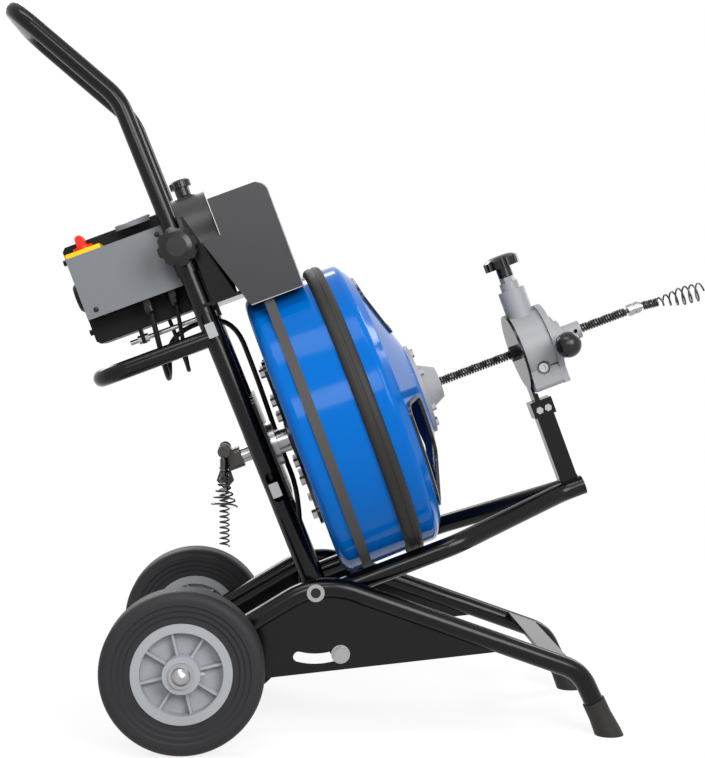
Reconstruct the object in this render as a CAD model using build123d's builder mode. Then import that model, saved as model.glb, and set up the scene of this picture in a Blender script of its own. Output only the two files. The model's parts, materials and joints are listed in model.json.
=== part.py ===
from build123d import *
import os
from math import cos, radians, sin, sqrt, tan

os.makedirs("parts", exist_ok=True)

# A drum machine for cleaning drains: a wheeled base, a tilting frame with drum, motor and feed head, and a
# sliding handle. Millimetres. +X points the way the cable leaves, +Y to the machine's left, +Z up.
# The origin is on the floor under the middle of the machine.

# Place of the axle and clearances
AXLE_X = -293.4
RUNNING = 0.05
SEAT = 0.05
GAP = 0.4

# Wheels and axle
WHEEL_DIAMETER = 254.0
WHEEL_TRACK = 430.0
TYRE_WIDTH = 62.0
TYRE_SHOULDER = 14.0
SIDEWALL_LINE_DIAMETER = 214.0
SIDEWALL_STEP_DIAMETER = 197.0
SIDEWALL_RECESS_DIAMETER = 180.0
SIDEWALL_STEP = 2.5
HUB_DIAMETER = 156.0
HUB_RIM = 14.0
HUB_RIM_WIDTH = 50.0
HUB_WEB = 6.0
HUB_BOSS_DIAMETER = 58.0
HUB_BOSS_LENGTH = 66.0
HUB_RIBS = 8
HUB_RIB = 4.0
HUB_RIB_DEPTH = 34.0
HUB_RIB_TURN = 32.0
NIPPLE_REACH = 6.0
NIPPLE_DIAMETER = 7.0
AXLE_DIAMETER = 16.0
AXLE_WASHER_DIAMETER = 40.0
AXLE_WASHER = 3.0
AXLE_CAP_DIAMETER = 29.0
AXLE_CAP_HEIGHT = 11.0
AXLE_STUB = 4.0

# Base: tube run in side view, measured from the axle and the floor
TUBE_WALL = 2.0
BASE_TUBE_DIAMETER = 32.0
BASE_GAUGE = 304.0
AXLE_LUG = 18.0
CREST_X = 216.0
CREST_Z = 254.0
CREST_RADIUS = 120.0
KNEE_X = 632.0
KNEE_Z = 103.0
KNEE_RADIUS = 60.0
LEG_END_X = 665.0
LEG_END_Z = 32.0
FOOT_GRIP = 25.0
FOOT_TOP_DIAMETER = 37.0
FOOT_DIAMETER = 43.0
SIDE_PLATE = 4.0
SIDE_PLATE_REAR_X = 95.0
SIDE_PLATE_REAR_Z = 96.0
SIDE_PLATE_FRONT_X = 496.0
SIDE_PLATE_FRONT_Z = 136.0
SIDE_PLATE_WELD_X = 70.0
CROSS_PLATE = 5.0
CROSS_PLATE_START = 366.0
CROSS_PLATE_LENGTH = 51.0
CROSS_PLATE_DROP = 1.5

# Tilt pivot and its lock
PIVOT_X = 207.0
PIVOT_Z = 237.0
PIVOT_ROD_DIAMETER = 16.0
PIVOT_BUSH_DIAMETER = 22.0
PIVOT_FLANGE_DIAMETER = 28.0
PIVOT_FLANGE = 3.0
PIVOT_RECESS = 2.0
PIVOT_SLEEVE_DIAMETER = 24.0
SLOT_RADIUS = 108.0
SLOT_WIDTH = 17.0
SLOT_ANGLE = 36.0
TILT_BRACKET = 8.0
TILT_BRACKET_WIDTH = 32.0
BRACKET_GRIP = 10.0
TILT_BOLT_DIAMETER = 12.0
TILT_WASHER_DIAMETER = 30.0
TILT_WASHER = 3.0
TILT_HEAD_DIAMETER = 24.0
TILT_HEAD = 8.0

# Tilting frame: u runs along the drum axis from the drum's rear face, w is square to it
TILT = 20.4
MAST_LEAN = 1.2
DRUM_X = 175.0
DRUM_Z = 472.0
UPRIGHT_DIAMETER = 32.0
UPRIGHT_GAUGE = 234.0
UPRIGHT_FOOT = 26.0
UPRIGHT_TOP = 606.0
WINDOW_S = (176.0, 450.0)
WINDOW_LENGTH = 50.0
WINDOW_WIDTH = 16.0
LATCH_LENGTH = 24.0
LATCH_PROUD = 1.5
COLLAR_START = 542.0
COLLAR_LENGTH = 68.0
COLLAR_DIAMETER = 38.0
COLLAR_BOSS_DIAMETER = 20.0
COLLAR_BOSS = 9.0
ARM_DIAMETER = 32.0
ARM_W = -248.0
ARM_BEND_U = 185.0
ARM_BEND_RADIUS = 90.0
ARM_MEET_U = 392.0
ARM_MEET_RADIUS = 60.0
ARM_MEET_GAP = 3.0
ARM_END_U = 432.0
LOWER_HANDLE_DIAMETER = 28.0
LOWER_HANDLE_W = 203.0
LOWER_HANDLE_END_U = -256.0
LOWER_HANDLE_RADIUS = 48.0
SPINDLE_PLATE = 5.0
SPINDLE_PLATE_EDGE = 2.0
SPINDLE_PLATE_HEIGHT = 178.0
SPINDLE_PLATE_S = 234.0
SPINDLE_PLATE_CORNER = 12.0
SPINDLE_DIAMETER = 25.0
SPINDLE_REAR_U = -118.0
SPINDLE_FRONT_U = 116.0
SPINDLE_HOLE = 30.0
HOUSING_FLANGE_DIAMETER = 76.0
HOUSING_FLANGE = 8.0
HOUSING_DIAMETER = 42.0

# Sliding handle, along the mast from the pivot
HANDLE_DIAMETER = 28.0
HANDLE_FOOT = 300.0
HANDLE_BEND = 838.0
HANDLE_BEND_RADIUS = 100.0
HANDLE_UPPER = 224.0
HANDLE_RAKE = 28.0
HANDLE_CORNER = 46.0
HANDLE_KNOB_S = 585.0
HANDLE_KNOB_DIAMETER = 63.0
HANDLE_KNOB_LOBES = 8
HANDLE_KNOB_HEIGHT = 24.0
KNOB_SCREW_DIAMETER = 8.0
KNOB_HUB = 8.0

# Drum
DRUM_DIAMETER = 490.0
DRUM_WALL = 2.5
DRUM_REAR_RADIUS = 18.0
DRUM_JOIN_U = 124.5
DRUM_RIM_U = 164.0
DRUM_CONE_U = 180.0
DRUM_CONE_DIAMETER = 440.0
DRUM_DISH_U = 210.0
DRUM_DISH_DIAMETER = 248.0
DRUM_FACE_U = 224.0
DRUM_FACE_DIAMETER = 162.0
DRUM_MOUTH_DIAMETER = 84.0
DRUM_RIM_ROUND = 12.0
BUMPER_WIDTH = 30.0
BUMPER_HEIGHT = 10.0
BUMPER_EDGE = 8.0
BUMPER_GROOVE = 5.0
BUMPER_GROOVE_DEPTH = 1.0
WINDOWS = 3
WINDOW_INNER_DIAMETER = 246.0
WINDOW_OUTER_DIAMETER = 422.0
WINDOW_ANGLE = 58.0
WINDOW_CORNER = 16.0
TRIM_WIDTH = 5.0
TRIM_PROUD = 1.2
NOSE_FLANGE_DIAMETER = 154.0
NOSE_FLANGE = 7.0
NOSE_BASE_DIAMETER = 85.0
NOSE_TIP_DIAMETER = 53.0
NOSE_TIP_U = 263.0
NOSE_BOLTS = 6
NOSE_BOLT_CIRCLE = 122.0
SPIDER = 6.0
SPIDER_ARMS = 4
SPIDER_ARM_WIDTH = 36.0
SPIDER_DIAMETER = 376.0
SPIDER_RING_DIAMETER = 140.0
SPIDER_BOLT_CIRCLES = (114.0, 194.0, 340.0)
BOLT_HEAD_DIAMETER = 15.0
BOLT_HEAD = 8.0
DRUM_HUB_DIAMETER = 60.0
DRUM_HUB_REAR_U = -8.0
DRUM_HUB_FRONT_U = 112.0

# Drain cable and its end auger
CABLE_DIAMETER = 15.9
CABLE_WIRE = 4.2
CABLE_PITCH = 4.8
CABLE_START_U = 257.0
CABLE_REAR_TURNS = 29.5
CABLE_FRONT_START_U = 517.0
CABLE_FRONT_LENGTH = 91.0
WINDING_TURNS = 7.5
WINDING_PITCH = 16.5
WINDING_START_U = 23.0
COUPLING_LENGTH = 20.0
COUPLING_DIAMETER = 20.0
COUPLING_GROOVE = 3.0
AUGER_DROOP = 6.6
AUGER_WIRE = 3.2
AUGER_TIGHT_TURNS = 7.0
AUGER_TIGHT_PITCH = 3.9
AUGER_TIGHT_DIAMETER = 15.6
AUGER_OPEN_TURNS = 6.5
AUGER_OPEN_PITCH = 12.0
AUGER_TIP_DIAMETER = 33.0
AUGER_FLARE_TURNS = 3.5
AUGER_FERRULE = 8.0
AUGER_FERRULE_DIAMETER = 16.0

# Motor, control box and belt drive
MOTOR_AXIS_W = 341.0
MOTOR_REAR_U = -248.0
MOTOR_FRONT_U = -3.0
MOTOR_WIDTH = 168.0
MOTOR_HEIGHT = 168.0
MOTOR_ROUND = 12.0
MOTOR_NECK_U = -62.0
MOTOR_END_CAP_DIAMETER = 50.0
MOTOR_END_CAP = 8.0
MOTOR_SCREW_DIAMETER = 10.0
MOTOR_SCREW = 6.0
MOTOR_SCREW_W = 61.0
MOTOR_SCREW_Y = 66.0
SADDLE_DIAMETER = 198.0
SADDLE_WALL = 2.5
SADDLE_REAR_U = -58.0
SADDLE_FRONT_U = 2.5
SADDLE_EDGE_W = 350.0
BRACKET_WALL = 4.0
BRACKET_FLOOR = 6.0
BRACKET_TOP_W = 400.0
BOX_REAR_U = -241.0
BOX_FRONT_U = -78.0
BOX_LOW_W = 297.0
BOX_TOP_W = 400.0
BOX_BACK_Y = -31.0
BOX_FACE_Y = -93.0
BOX_COVER = 4.0
BOX_COVER_ROUND = 4.0
SWITCH_U = -211.0
SWITCH_Y = -64.0
SWITCH_PLATE_SIZE = 64.0
SWITCH_PLATE = 7.0
SWITCH_DISC_DIAMETER = 33.0
SWITCH_DISC = 6.0
SWITCH_LEVER = 14.0
SWITCH_LEVER_HEIGHT = 18.0
SWITCH_STEM_DIAMETER = 10.0
GLAND_U = (-145.0, -102.0)
GLAND_Y = -66.0
GLAND_DIAMETER = 22.0
GLAND_NUT = 10.0
GLAND_DOME = 14.0
PULLEY_U = 41.0
PULLEY_DIAMETER = 60.0
PULLEY_WIDTH = 20.0
PULLEY_RIM = 3.0
MOTOR_SHAFT_DIAMETER = 15.0
MOTOR_SHAFT_GRIP = 22.0
BELT_WIDTH = 16.0
BELT = 3.0
GUARD_WALL = 2.5
GUARD_WIDTH = 284.0
GUARD_FRONT_U = 101.0
GUARD_HEADROOM = 29.5
GUARD_ROUND = 20.0
GUARD_LOW_U = 12.0
GUARD_LOW_W = 228.0
GUARD_NOTCH_U = 5.0
GUARD_SHAFT_HOLE = 44.0
GUARD_DRUM_GAP = 5.0
TENSION_KNOB_U = -30.0
TENSION_KNOB_DIAMETER = 36.0
TENSION_NECK_DIAMETER = 25.0
TENSION_NECK = 14.0
TENSION_KNOB_HEIGHT = 15.0
TENSION_LOBES = 12
STUD_DIAMETER = 8.0
STUD_REAR_U = -198.0
STUD_W = 241.0
STUD_Y = -14.0
STUD_LUG = 6.0
STUD_LUG_U = -178.0

# Guide post and feed head
POST_SIZE = 30.0
POST_WALL = 2.5
POST_U = 412.0
POST_FOOT_W = -258.0
POST_TOP_W = -92.0
CLAMP_WALL = 4.0
CLAMP_HEIGHT = 24.0
CLAMP_BOLT_DIAMETER = 8.0
FEED_BACK_U = 403.0
FEED_BACK_PLATE = 4.5
FEED_BACK_DIAMETER = 132.0
FEED_TONGUE = 36.0
FEED_BODY_DIAMETER = 118.0
FEED_BODY_FRONT_U = 457.0
FEED_BODY_LOW_W = -72.0
FEED_BODY_WIDTH = 92.0
FEED_BODY_ROUND = 8.0
FEED_CAVITY_DIAMETER = 72.0
FEED_WALL = 7.0
FEED_SPLIT = 3.0
FEED_PORT_U = 431.0
FEED_PORT_W = -36.0
FEED_PORT_DIAMETER = 24.0
FEED_SCREW_DIAMETER = 15.0
FEED_COVER = 10.0
FEED_COVER_DIAMETER = 130.0
FEED_BOSS_U = 432.0
FEED_BOSS_DIAMETER = 46.0
FEED_BOSS_TOP_W = 103.0
FEED_SLEEVE_DIAMETER = 32.0
FEED_SLEEVE = 14.0
FEED_NUT_DIAMETER = 26.0
FEED_NUT = 9.0
FEED_KNOB_DIAMETER = 60.0
FEED_KNOB_LOBES = 8
FEED_KNOB_HEIGHT = 21.0
FEED_KNOB_HUB = 17.0
FEED_SCREW_ROD = 10.0
FEED_SCREW_LOW_W = 52.0
FEED_RING_DIAMETER = 76.0
FEED_RING = 10.0
FEED_SPIGOT_DIAMETER = 40.0
FEED_COLLAR_DIAMETER = 56.0
FEED_COLLAR = 8.0
FEED_NOSE_DIAMETER = 30.0
FEED_NOSE = 34.0
FEED_NOSE_HOLE = 7.0
LEVER_ROD_DIAMETER = 10.0
LEVER_BALL_DIAMETER = 43.0
LEVER_BALL_Y = -100.0
LEVER_BALL_U = 473.0
LEVER_BALL_W = -10.0
INLET_DIAMETER = 26.0
INLET = 10.0
CABLE_CLEARANCE = 0.5
ROLLERS = 3
ROLLER_DIAMETER = 20.0
ROLLER_LENGTH = 30.0
ROLLER_PIN_DIAMETER = 8.0

# Tool holder and the tools that hang on its peg
HOLDER_LENGTH = 26.0
HOLDER_SIZE = 34.0
PEG_DIAMETER = 8.0
PEG_NEAR_Y = -74.0
PEG_FAR_Y = 40.0
PEG_X = 60.0
PEG_Z = 452.0
TOOL_EYE_DIAMETER = 20.0
TOOL_EYE = 6.0
STRAIGHT_Y = -29.0
FUNNEL_Y = -65.0
SPADE_Y = 29.0
STRAIGHT_WIRE = 3.0
STRAIGHT_TURNS = 15.0
STRAIGHT_PITCH = 9.0
STRAIGHT_DIAMETER = 18.0
STRAIGHT_SHANK = 24.0
FUNNEL_WIRE = 3.0
FUNNEL_TURNS = 6.0
FUNNEL_PITCH = 10.5
FUNNEL_TOP_DIAMETER = 14.0
FUNNEL_END_DIAMETER = 46.0
FUNNEL_SHANK = 26.0
SPADE_SHANK = 30.0
SPADE_LENGTH = 44.0
SPADE_WIDTH = 30.0
SPADE = 3.0

# Leads: routes on the tilting frame in u, Y, w and on the base from the axle
MOTOR_LEAD_DIAMETER = 7.0
LEAD_DIAMETER = 9.0
LEAD_COIL_X = -30.0
LEAD_COIL_Y = 20.0
LEAD_COIL_DIAMETER = 134.0
LEAD_COIL_PITCH = 11.0
LEAD_COIL_TURNS = 2.5
LEAD_COIL_LAYER = 9.8
LEAD_TAIL = 58.0
PLUG_LENGTH = 46.0
PLUG_NECK = 14.0
PLUG_NECK_DIAMETER = 15.0
PIN_LENGTH = 19.0
PIN_DIAMETER = 4.8
PIN_SPACING = 19.0

# Directions of the tilting frame
FORWARD = Vector(cos(radians(TILT)), 0, sin(radians(TILT)))
UPWARD = Vector(-sin(radians(TILT)), 0, cos(radians(TILT)))
MAST = Vector(-sin(radians(TILT + MAST_LEAN)), 0, cos(radians(TILT + MAST_LEAN)))
MAST_FRONT = Vector(cos(radians(TILT + MAST_LEAN)), 0, sin(radians(TILT + MAST_LEAN)))
ACROSS = Vector(0, 1, 0)
UP = Vector(0, 0, 1)

SIDES = ((-1, "right"), (1, "left"))


def base_at(x, y, z):
    """A point of the base: x forward of the axle, z above the floor."""
    return Vector(AXLE_X + x, y, z)


def drum_at(u, y, w):
    """A point of the tilting frame: u along the drum axis, w square to it."""
    return base_at(DRUM_X, y, DRUM_Z) + FORWARD * u + UPWARD * w


def mast_at(n, y, s):
    """A point by the uprights: s along them from the pivot, n in front of their axis."""
    return base_at(PIVOT_X, y, PIVOT_Z) + MAST_FRONT * n + MAST * s


def base_side(y):
    """Side view of the base: local x forward of the axle, local y up."""
    return Plane(origin=base_at(0, y, 0), x_dir=(1, 0, 0), z_dir=(0, -1, 0))


def drum_side(y):
    """Side view of the tilting frame: local x is u, local y is w."""
    return Plane(origin=drum_at(0, y, 0), x_dir=FORWARD, z_dir=(0, -1, 0))


def mast_side(y):
    """Side view of the uprights: local x is n, local y is s."""
    return Plane(origin=mast_at(0, y, 0), x_dir=MAST_FRONT, z_dir=(0, -1, 0))


def drum_face(u):
    """View along the drum axis: local x is Y, local y is w."""
    return Plane(origin=drum_at(u, 0, 0), x_dir=(0, 1, 0), z_dir=FORWARD)


def drum_level(u, y, w):
    """View down on the tilting frame: local x is u, local y is Y."""
    return Plane(origin=drum_at(u, y, w), x_dir=FORWARD, z_dir=UPWARD)


def turning_plane(origin, way):
    """Local x runs along the axis of a turned piece, local y is its radius."""
    upright_way = Vector(1, 0, 0) if abs(way.Z) > 0.9 else UP
    return Plane(origin=origin, x_dir=way, z_dir=way.cross(upright_way))


def turned(origin, way, outline):
    """A turned piece: the outline's points are (along the axis, radius)."""
    plane = turning_plane(origin, way)
    with BuildPart() as piece:
        with BuildSketch(plane):
            with BuildLine():
                Polyline(*outline, close=True)
            make_face()
        revolve(axis=Axis(plane.origin, plane.x_dir))
    return piece.part


def ring(origin, way, start, end, outer, inner=0.0):
    """A turned ring or disc between two stations on its axis."""
    return turned(origin, way, [(start, inner), (start, outer), (end, outer), (end, inner)])


def tube(points, radii, outer, inner=0.0):
    """A round tube along straight runs joined by tangent arcs."""
    with BuildPart() as piece:
        with BuildLine() as path:
            if radii:
                FilletPolyline(*points, radius=radii)
            else:
                Polyline(*points)
        with BuildSketch(Plane(origin=points[0], z_dir=points[1] - points[0])):
            Circle(outer)
            if inner:
                Circle(inner, mode=Mode.SUBTRACT)
        sweep(path=path.wires()[0])
    return piece.part


def hexagon_head(origin, way, height, across):
    """A hexagon head standing on a point."""
    with BuildPart() as piece:
        with BuildSketch(Plane(origin=origin, z_dir=way)):
            RegularPolygon(across / 2, 6)
        extrude(amount=height)
    return piece.part


def star_knob(origin, way, diameter, lobes, height, neck, neck_height, screw, screw_length):
    """A lobed knob on a neck with its screw, from the neck's seat outward."""
    top = neck_height + height
    dome = height / 3
    scallop = diameter / lobes * 0.8
    plane = Plane(origin=origin, z_dir=way)
    with BuildPart() as piece:
        with BuildSketch(plane.offset(neck_height)):
            Circle(diameter / 2)
            with PolarLocations(diameter / 2 + scallop * 0.45, lobes):
                Circle(scallop, mode=Mode.SUBTRACT)
        extrude(amount=height)
        add(
            turned(origin, way, [
                (0, 0),
                (0, diameter / 2),
                (top - dome, diameter / 2),
                (top - dome / 3, diameter / 2 - dome),
                (top, diameter / 4),
                (top, 0),
            ]),
            mode=Mode.INTERSECT,
        )
        add(ring(origin, way, 0, neck_height, neck / 2))
        add(ring(origin, way, -screw_length, 0, screw / 2))
    return piece.part


def helix_stations(origin, way, across, radius_at, along_at, turns, steps_per_turn):
    """Points and directions of a coil, whose radius and advance are functions of the turn."""
    third = way.cross(across)

    def point(turn):
        angle = 360 * turn
        radius = radius_at(turn)
        spoke = across * cos(radians(angle)) + third * sin(radians(angle))
        return origin + way * along_at(turn) + spoke * radius

    step = 0.0005
    count = round(turns * steps_per_turn)
    stations = []
    for index in range(count + 1):
        turn = turns * index / count
        heading = (point(turn + step) - point(turn - step)).normalized()
        stations.append((point(turn), heading))
    return stations


def coil_path(stations):
    """Tangent arcs through the stations, two for each step."""
    for (start, start_way), (end, end_way) in zip(stations, stations[1:]):
        chord = end - start
        ways = start_way + end_way
        spread = 2 * (1 - start_way.dot(end_way))
        lean = chord.dot(ways)
        reach = (sqrt(lean * lean + spread * chord.dot(chord)) - lean) / spread
        first = start + start_way * reach
        second = end - end_way * reach
        middle = (first + second) * 0.5
        TangentArc(start, middle, tangent=start_way)
        TangentArc(middle, end, tangent=second - first)


def wire_coil(stations, wire_diameter, sides):
    """A wire of a flat-sided section wound along a coil."""
    with BuildPart() as piece:
        with BuildLine() as path:
            coil_path(stations)
        with BuildSketch(Plane(origin=stations[0][0], z_dir=stations[0][1])):
            RegularPolygon(wire_diameter / 2, sides)
        sweep(path=path.wires()[0], clean=False)
    return piece.part


def print_least_gap(name, stations, steps_per_turn, wire_diameter):
    """Prints the least gap between neighbouring turns, measured on the coil's points."""
    points = [place for place, heading in stations]
    least = min(
        (points[index] - points[other]).length
        for index in range(len(points))
        for other in range(index + steps_per_turn // 2 + 1, min(len(points), index + 2 * steps_per_turn))
    )
    print(f"{name}: least gap {least - wire_diameter:.2f} mm")


def write(piece, name):
    """Labels a finished piece and writes its file."""
    piece.part.label = name
    export_step(piece.part, f"parts/{name}.step")


# Wheels: tyre and ribbed hub on each end of the axle
wheel_radius = WHEEL_DIAMETER / 2
boss_half = HUB_BOSS_LENGTH / 2
hub_rim_radius = HUB_DIAMETER / 2 - HUB_RIM
axle_bore = AXLE_DIAMETER / 2 + RUNNING

for side, name in SIDES:
    wheel_centre = base_at(0, side * WHEEL_TRACK / 2, wheel_radius)
    wheel_view = turning_plane(wheel_centre, ACROSS)
    wheel_axis = Axis(wheel_centre, ACROSS)
    with BuildPart() as tyre:
        with BuildSketch(wheel_view):
            with BuildLine():
                tread = TYRE_WIDTH / 2 - TYRE_SHOULDER
                wall = TYRE_WIDTH / 2
                Line((0, wheel_radius), (tread, wheel_radius))
                CenterArc((tread, wheel_radius - TYRE_SHOULDER), TYRE_SHOULDER, 0, 90)
                Polyline(
                    (wall, wheel_radius - TYRE_SHOULDER),
                    (wall, SIDEWALL_LINE_DIAMETER / 2),
                    (wall - SIDEWALL_STEP, SIDEWALL_LINE_DIAMETER / 2 - SIDEWALL_STEP),
                    (wall - SIDEWALL_STEP, SIDEWALL_STEP_DIAMETER / 2),
                    (wall - 2 * SIDEWALL_STEP, SIDEWALL_STEP_DIAMETER / 2 - SIDEWALL_STEP),
                    (wall - 2 * SIDEWALL_STEP, SIDEWALL_RECESS_DIAMETER / 2),
                    (wall - 3 * SIDEWALL_STEP, SIDEWALL_RECESS_DIAMETER / 2 - SIDEWALL_STEP),
                    (wall - 3 * SIDEWALL_STEP, HUB_DIAMETER / 2),
                    (0, HUB_DIAMETER / 2),
                )
                mirror(about=Plane.YZ)
            make_face()
        revolve(axis=wheel_axis)
    write(tyre, f"tyre_{name}")

    with BuildPart() as hub:
        with BuildSketch(wheel_view):
            with BuildLine():
                Polyline(
                    (0, axle_bore),
                    (boss_half, axle_bore),
                    (boss_half, HUB_BOSS_DIAMETER / 2),
                    (HUB_WEB / 2, HUB_BOSS_DIAMETER / 2),
                    (HUB_WEB / 2, hub_rim_radius),
                    (HUB_RIM_WIDTH / 2, hub_rim_radius),
                    (HUB_RIM_WIDTH / 2, HUB_DIAMETER / 2),
                    (0, HUB_DIAMETER / 2),
                )
                mirror(about=Plane.YZ)
            make_face()
        revolve(axis=wheel_axis)
        with BuildSketch(Plane(origin=wheel_centre, x_dir=(0, 0, 1), z_dir=(0, 1, 0))):
            rib_length = hub_rim_radius - HUB_BOSS_DIAMETER / 2 + HUB_RIB
            with PolarLocations((hub_rim_radius + HUB_BOSS_DIAMETER / 2) / 2, HUB_RIBS, HUB_RIB_TURN):
                Rectangle(rib_length, HUB_RIB)
        extrude(amount=HUB_RIB_DEPTH / 2, both=True)
        nipple_y = side * (boss_half + HUB_RIB_DEPTH / 2) / 2
        add(
            ring(
                wheel_centre + ACROSS * nipple_y,
                Vector(1, 0, 0),
                HUB_BOSS_DIAMETER / 2 - SIDEWALL_STEP,
                HUB_BOSS_DIAMETER / 2 + NIPPLE_REACH,
                NIPPLE_DIAMETER / 2,
            )
        )
    write(hub, f"hub_{name}")

axle_centre = base_at(0, 0, wheel_radius)
washer_start = WHEEL_TRACK / 2 + boss_half + GAP
cap_start = washer_start + AXLE_WASHER
axle_end = cap_start + AXLE_STUB
with BuildPart() as axle:
    cap_radius = AXLE_CAP_DIAMETER / 2
    for side, name in SIDES:
        add(
            turned(axle_centre, ACROSS * side, [
                (0, 0),
                (0, AXLE_DIAMETER / 2),
                (washer_start, AXLE_DIAMETER / 2),
                (washer_start, AXLE_WASHER_DIAMETER / 2),
                (cap_start, AXLE_WASHER_DIAMETER / 2),
                (cap_start, cap_radius),
                (axle_end, cap_radius),
                (axle_end + AXLE_CAP_HEIGHT * 0.4, cap_radius * 0.9),
                (axle_end + AXLE_CAP_HEIGHT * 0.75, cap_radius * 0.64),
                (axle_end + AXLE_CAP_HEIGHT, cap_radius * 0.25),
                (axle_end + AXLE_CAP_HEIGHT, 0),
            ])
        )
write(axle, "axle")

# Base: bent tubes, side plates with the tilt slots, cross plate, foot caps and the pivot rod
rear_way = (base_at(CREST_X, 0, CREST_Z) - axle_centre).normalized()
leg_way = (base_at(LEG_END_X, 0, LEG_END_Z) - base_at(KNEE_X, 0, KNEE_Z)).normalized()
front_way = (base_at(KNEE_X, 0, KNEE_Z) - base_at(CREST_X, 0, CREST_Z)).normalized()
base_radius = BASE_TUBE_DIAMETER / 2


def base_run(side):
    """The centre line of a base tube, from behind the axle to the foot."""
    aside = ACROSS * (side * BASE_GAUGE / 2)
    return [
        axle_centre - rear_way * AXLE_LUG + aside,
        base_at(CREST_X, 0, CREST_Z) + aside,
        base_at(KNEE_X, 0, KNEE_Z) + aside,
        base_at(LEG_END_X, 0, LEG_END_Z) + aside,
    ]


base_bends = [CREST_RADIUS, KNEE_RADIUS]
base_cores = [tube(base_run(side), base_bends, base_radius) for side, name in SIDES]

with BuildPart() as base_tubes:
    for side, name in SIDES:
        add(tube(base_run(side), base_bends, base_radius, base_radius - TUBE_WALL))
    with BuildSketch(base_side(0)):
        with Locations((0, wheel_radius)):
            Circle(AXLE_DIAMETER / 2 + SEAT)
        with Locations((PIVOT_X, PIVOT_Z)):
            Circle(PIVOT_BUSH_DIAMETER / 2 + SEAT)
    extrude(amount=BASE_GAUGE, both=True, mode=Mode.SUBTRACT)
write(base_tubes, "base_tubes")

with BuildPart() as base_plates:
    weld_z = wheel_radius + (CREST_Z - wheel_radius) * SIDE_PLATE_WELD_X / CREST_X
    for side, name in SIDES:
        with BuildSketch(base_side(side * BASE_GAUGE / 2)):
            with BuildLine():
                Polyline(
                    (SIDE_PLATE_REAR_X, SIDE_PLATE_REAR_Z),
                    (SIDE_PLATE_FRONT_X, SIDE_PLATE_FRONT_Z),
                    (CREST_X, CREST_Z),
                    (SIDE_PLATE_WELD_X, weld_z),
                    close=True,
                )
            make_face()
            with BuildLine():
                slot_start = TILT + MAST_LEAN - 90
                slot_low = CenterArc(
                    (PIVOT_X, PIVOT_Z), SLOT_RADIUS + SLOT_WIDTH / 2, slot_start - SLOT_ANGLE, SLOT_ANGLE
                )
                slot_high = CenterArc(
                    (PIVOT_X, PIVOT_Z), SLOT_RADIUS - SLOT_WIDTH / 2, slot_start - SLOT_ANGLE, SLOT_ANGLE
                )
                Line(slot_low @ 0, slot_high @ 0)
                Line(slot_low @ 1, slot_high @ 1)
            make_face(mode=Mode.SUBTRACT)
            with Locations(((slot_low @ 0) + (slot_high @ 0)) / 2, ((slot_low @ 1) + (slot_high @ 1)) / 2):
                Circle(SLOT_WIDTH / 2, mode=Mode.SUBTRACT)
        extrude(amount=SIDE_PLATE / 2, both=True)
    plate_top = base_radius - CROSS_PLATE_DROP
    plate_view = Plane(origin=base_at(CREST_X, 0, CREST_Z), x_dir=front_way, z_dir=(0, -1, 0))
    with BuildSketch(plate_view):
        with Locations((CROSS_PLATE_START, plate_top)):
            Rectangle(CROSS_PLATE_LENGTH, CROSS_PLATE, align=(Align.MIN, Align.MAX))
    extrude(amount=BASE_GAUGE / 2, both=True)
    for core in base_cores:
        add(core, mode=Mode.SUBTRACT)
write(base_plates, "base_plates")

with BuildPart() as foot_caps:
    floor_reach = LEG_END_Z + FOOT_DIAMETER
    for side, name in SIDES:
        add(
            turned(base_run(side)[-1], leg_way, [
                (0, 0),
                (0, base_radius + SEAT),
                (-FOOT_GRIP, base_radius + SEAT),
                (-FOOT_GRIP, FOOT_TOP_DIAMETER / 2),
                (0, FOOT_TOP_DIAMETER / 2),
                (LEG_END_Z, FOOT_DIAMETER / 2),
                (floor_reach, FOOT_DIAMETER / 2),
                (floor_reach, 0),
            ])
        )
    split(bisect_by=Plane.XY, keep=Keep.TOP)
write(foot_caps, "foot_caps")

pivot = base_at(PIVOT_X, 0, PIVOT_Z)
bush_inner = BASE_GAUGE / 2 - base_radius
bush_outer = BASE_GAUGE / 2 + base_radius
pivot_end = bush_outer + PIVOT_FLANGE
rod_radius = PIVOT_ROD_DIAMETER / 2
with BuildPart() as pivot_rod:
    for side, name in SIDES:
        add(
            turned(pivot, ACROSS * side, [
                (0, 0),
                (0, rod_radius),
                (bush_inner, rod_radius),
                (bush_inner, PIVOT_BUSH_DIAMETER / 2),
                (bush_outer, PIVOT_BUSH_DIAMETER / 2),
                (bush_outer, PIVOT_FLANGE_DIAMETER / 2),
                (pivot_end, PIVOT_FLANGE_DIAMETER / 2),
                (pivot_end, rod_radius),
                (pivot_end - PIVOT_RECESS, rod_radius),
                (pivot_end - PIVOT_RECESS, 0),
            ])
        )
write(pivot_rod, "pivot_rod")

# Tilting frame: sleeve, uprights, arms, tilt brackets and their bolts
upright_y = UPRIGHT_GAUGE / 2
upright_radius = UPRIGHT_DIAMETER / 2
upright_bore = HANDLE_DIAMETER / 2 + RUNNING
arm_radius = ARM_DIAMETER / 2
meet_y = arm_radius + ARM_MEET_GAP / 2


def upright_core(side):
    """The upright as a full bar, to cope the pieces that are welded to it."""
    foot = mast_at(0, side * upright_y, -UPRIGHT_FOOT)
    return ring(foot, MAST, 0, UPRIGHT_FOOT + UPRIGHT_TOP, upright_radius)


with BuildPart() as post_core:
    with BuildSketch(drum_level(POST_U, 0, POST_FOOT_W)):
        Rectangle(POST_SIZE, POST_SIZE)
    extrude(amount=POST_TOP_W - POST_FOOT_W)

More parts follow.
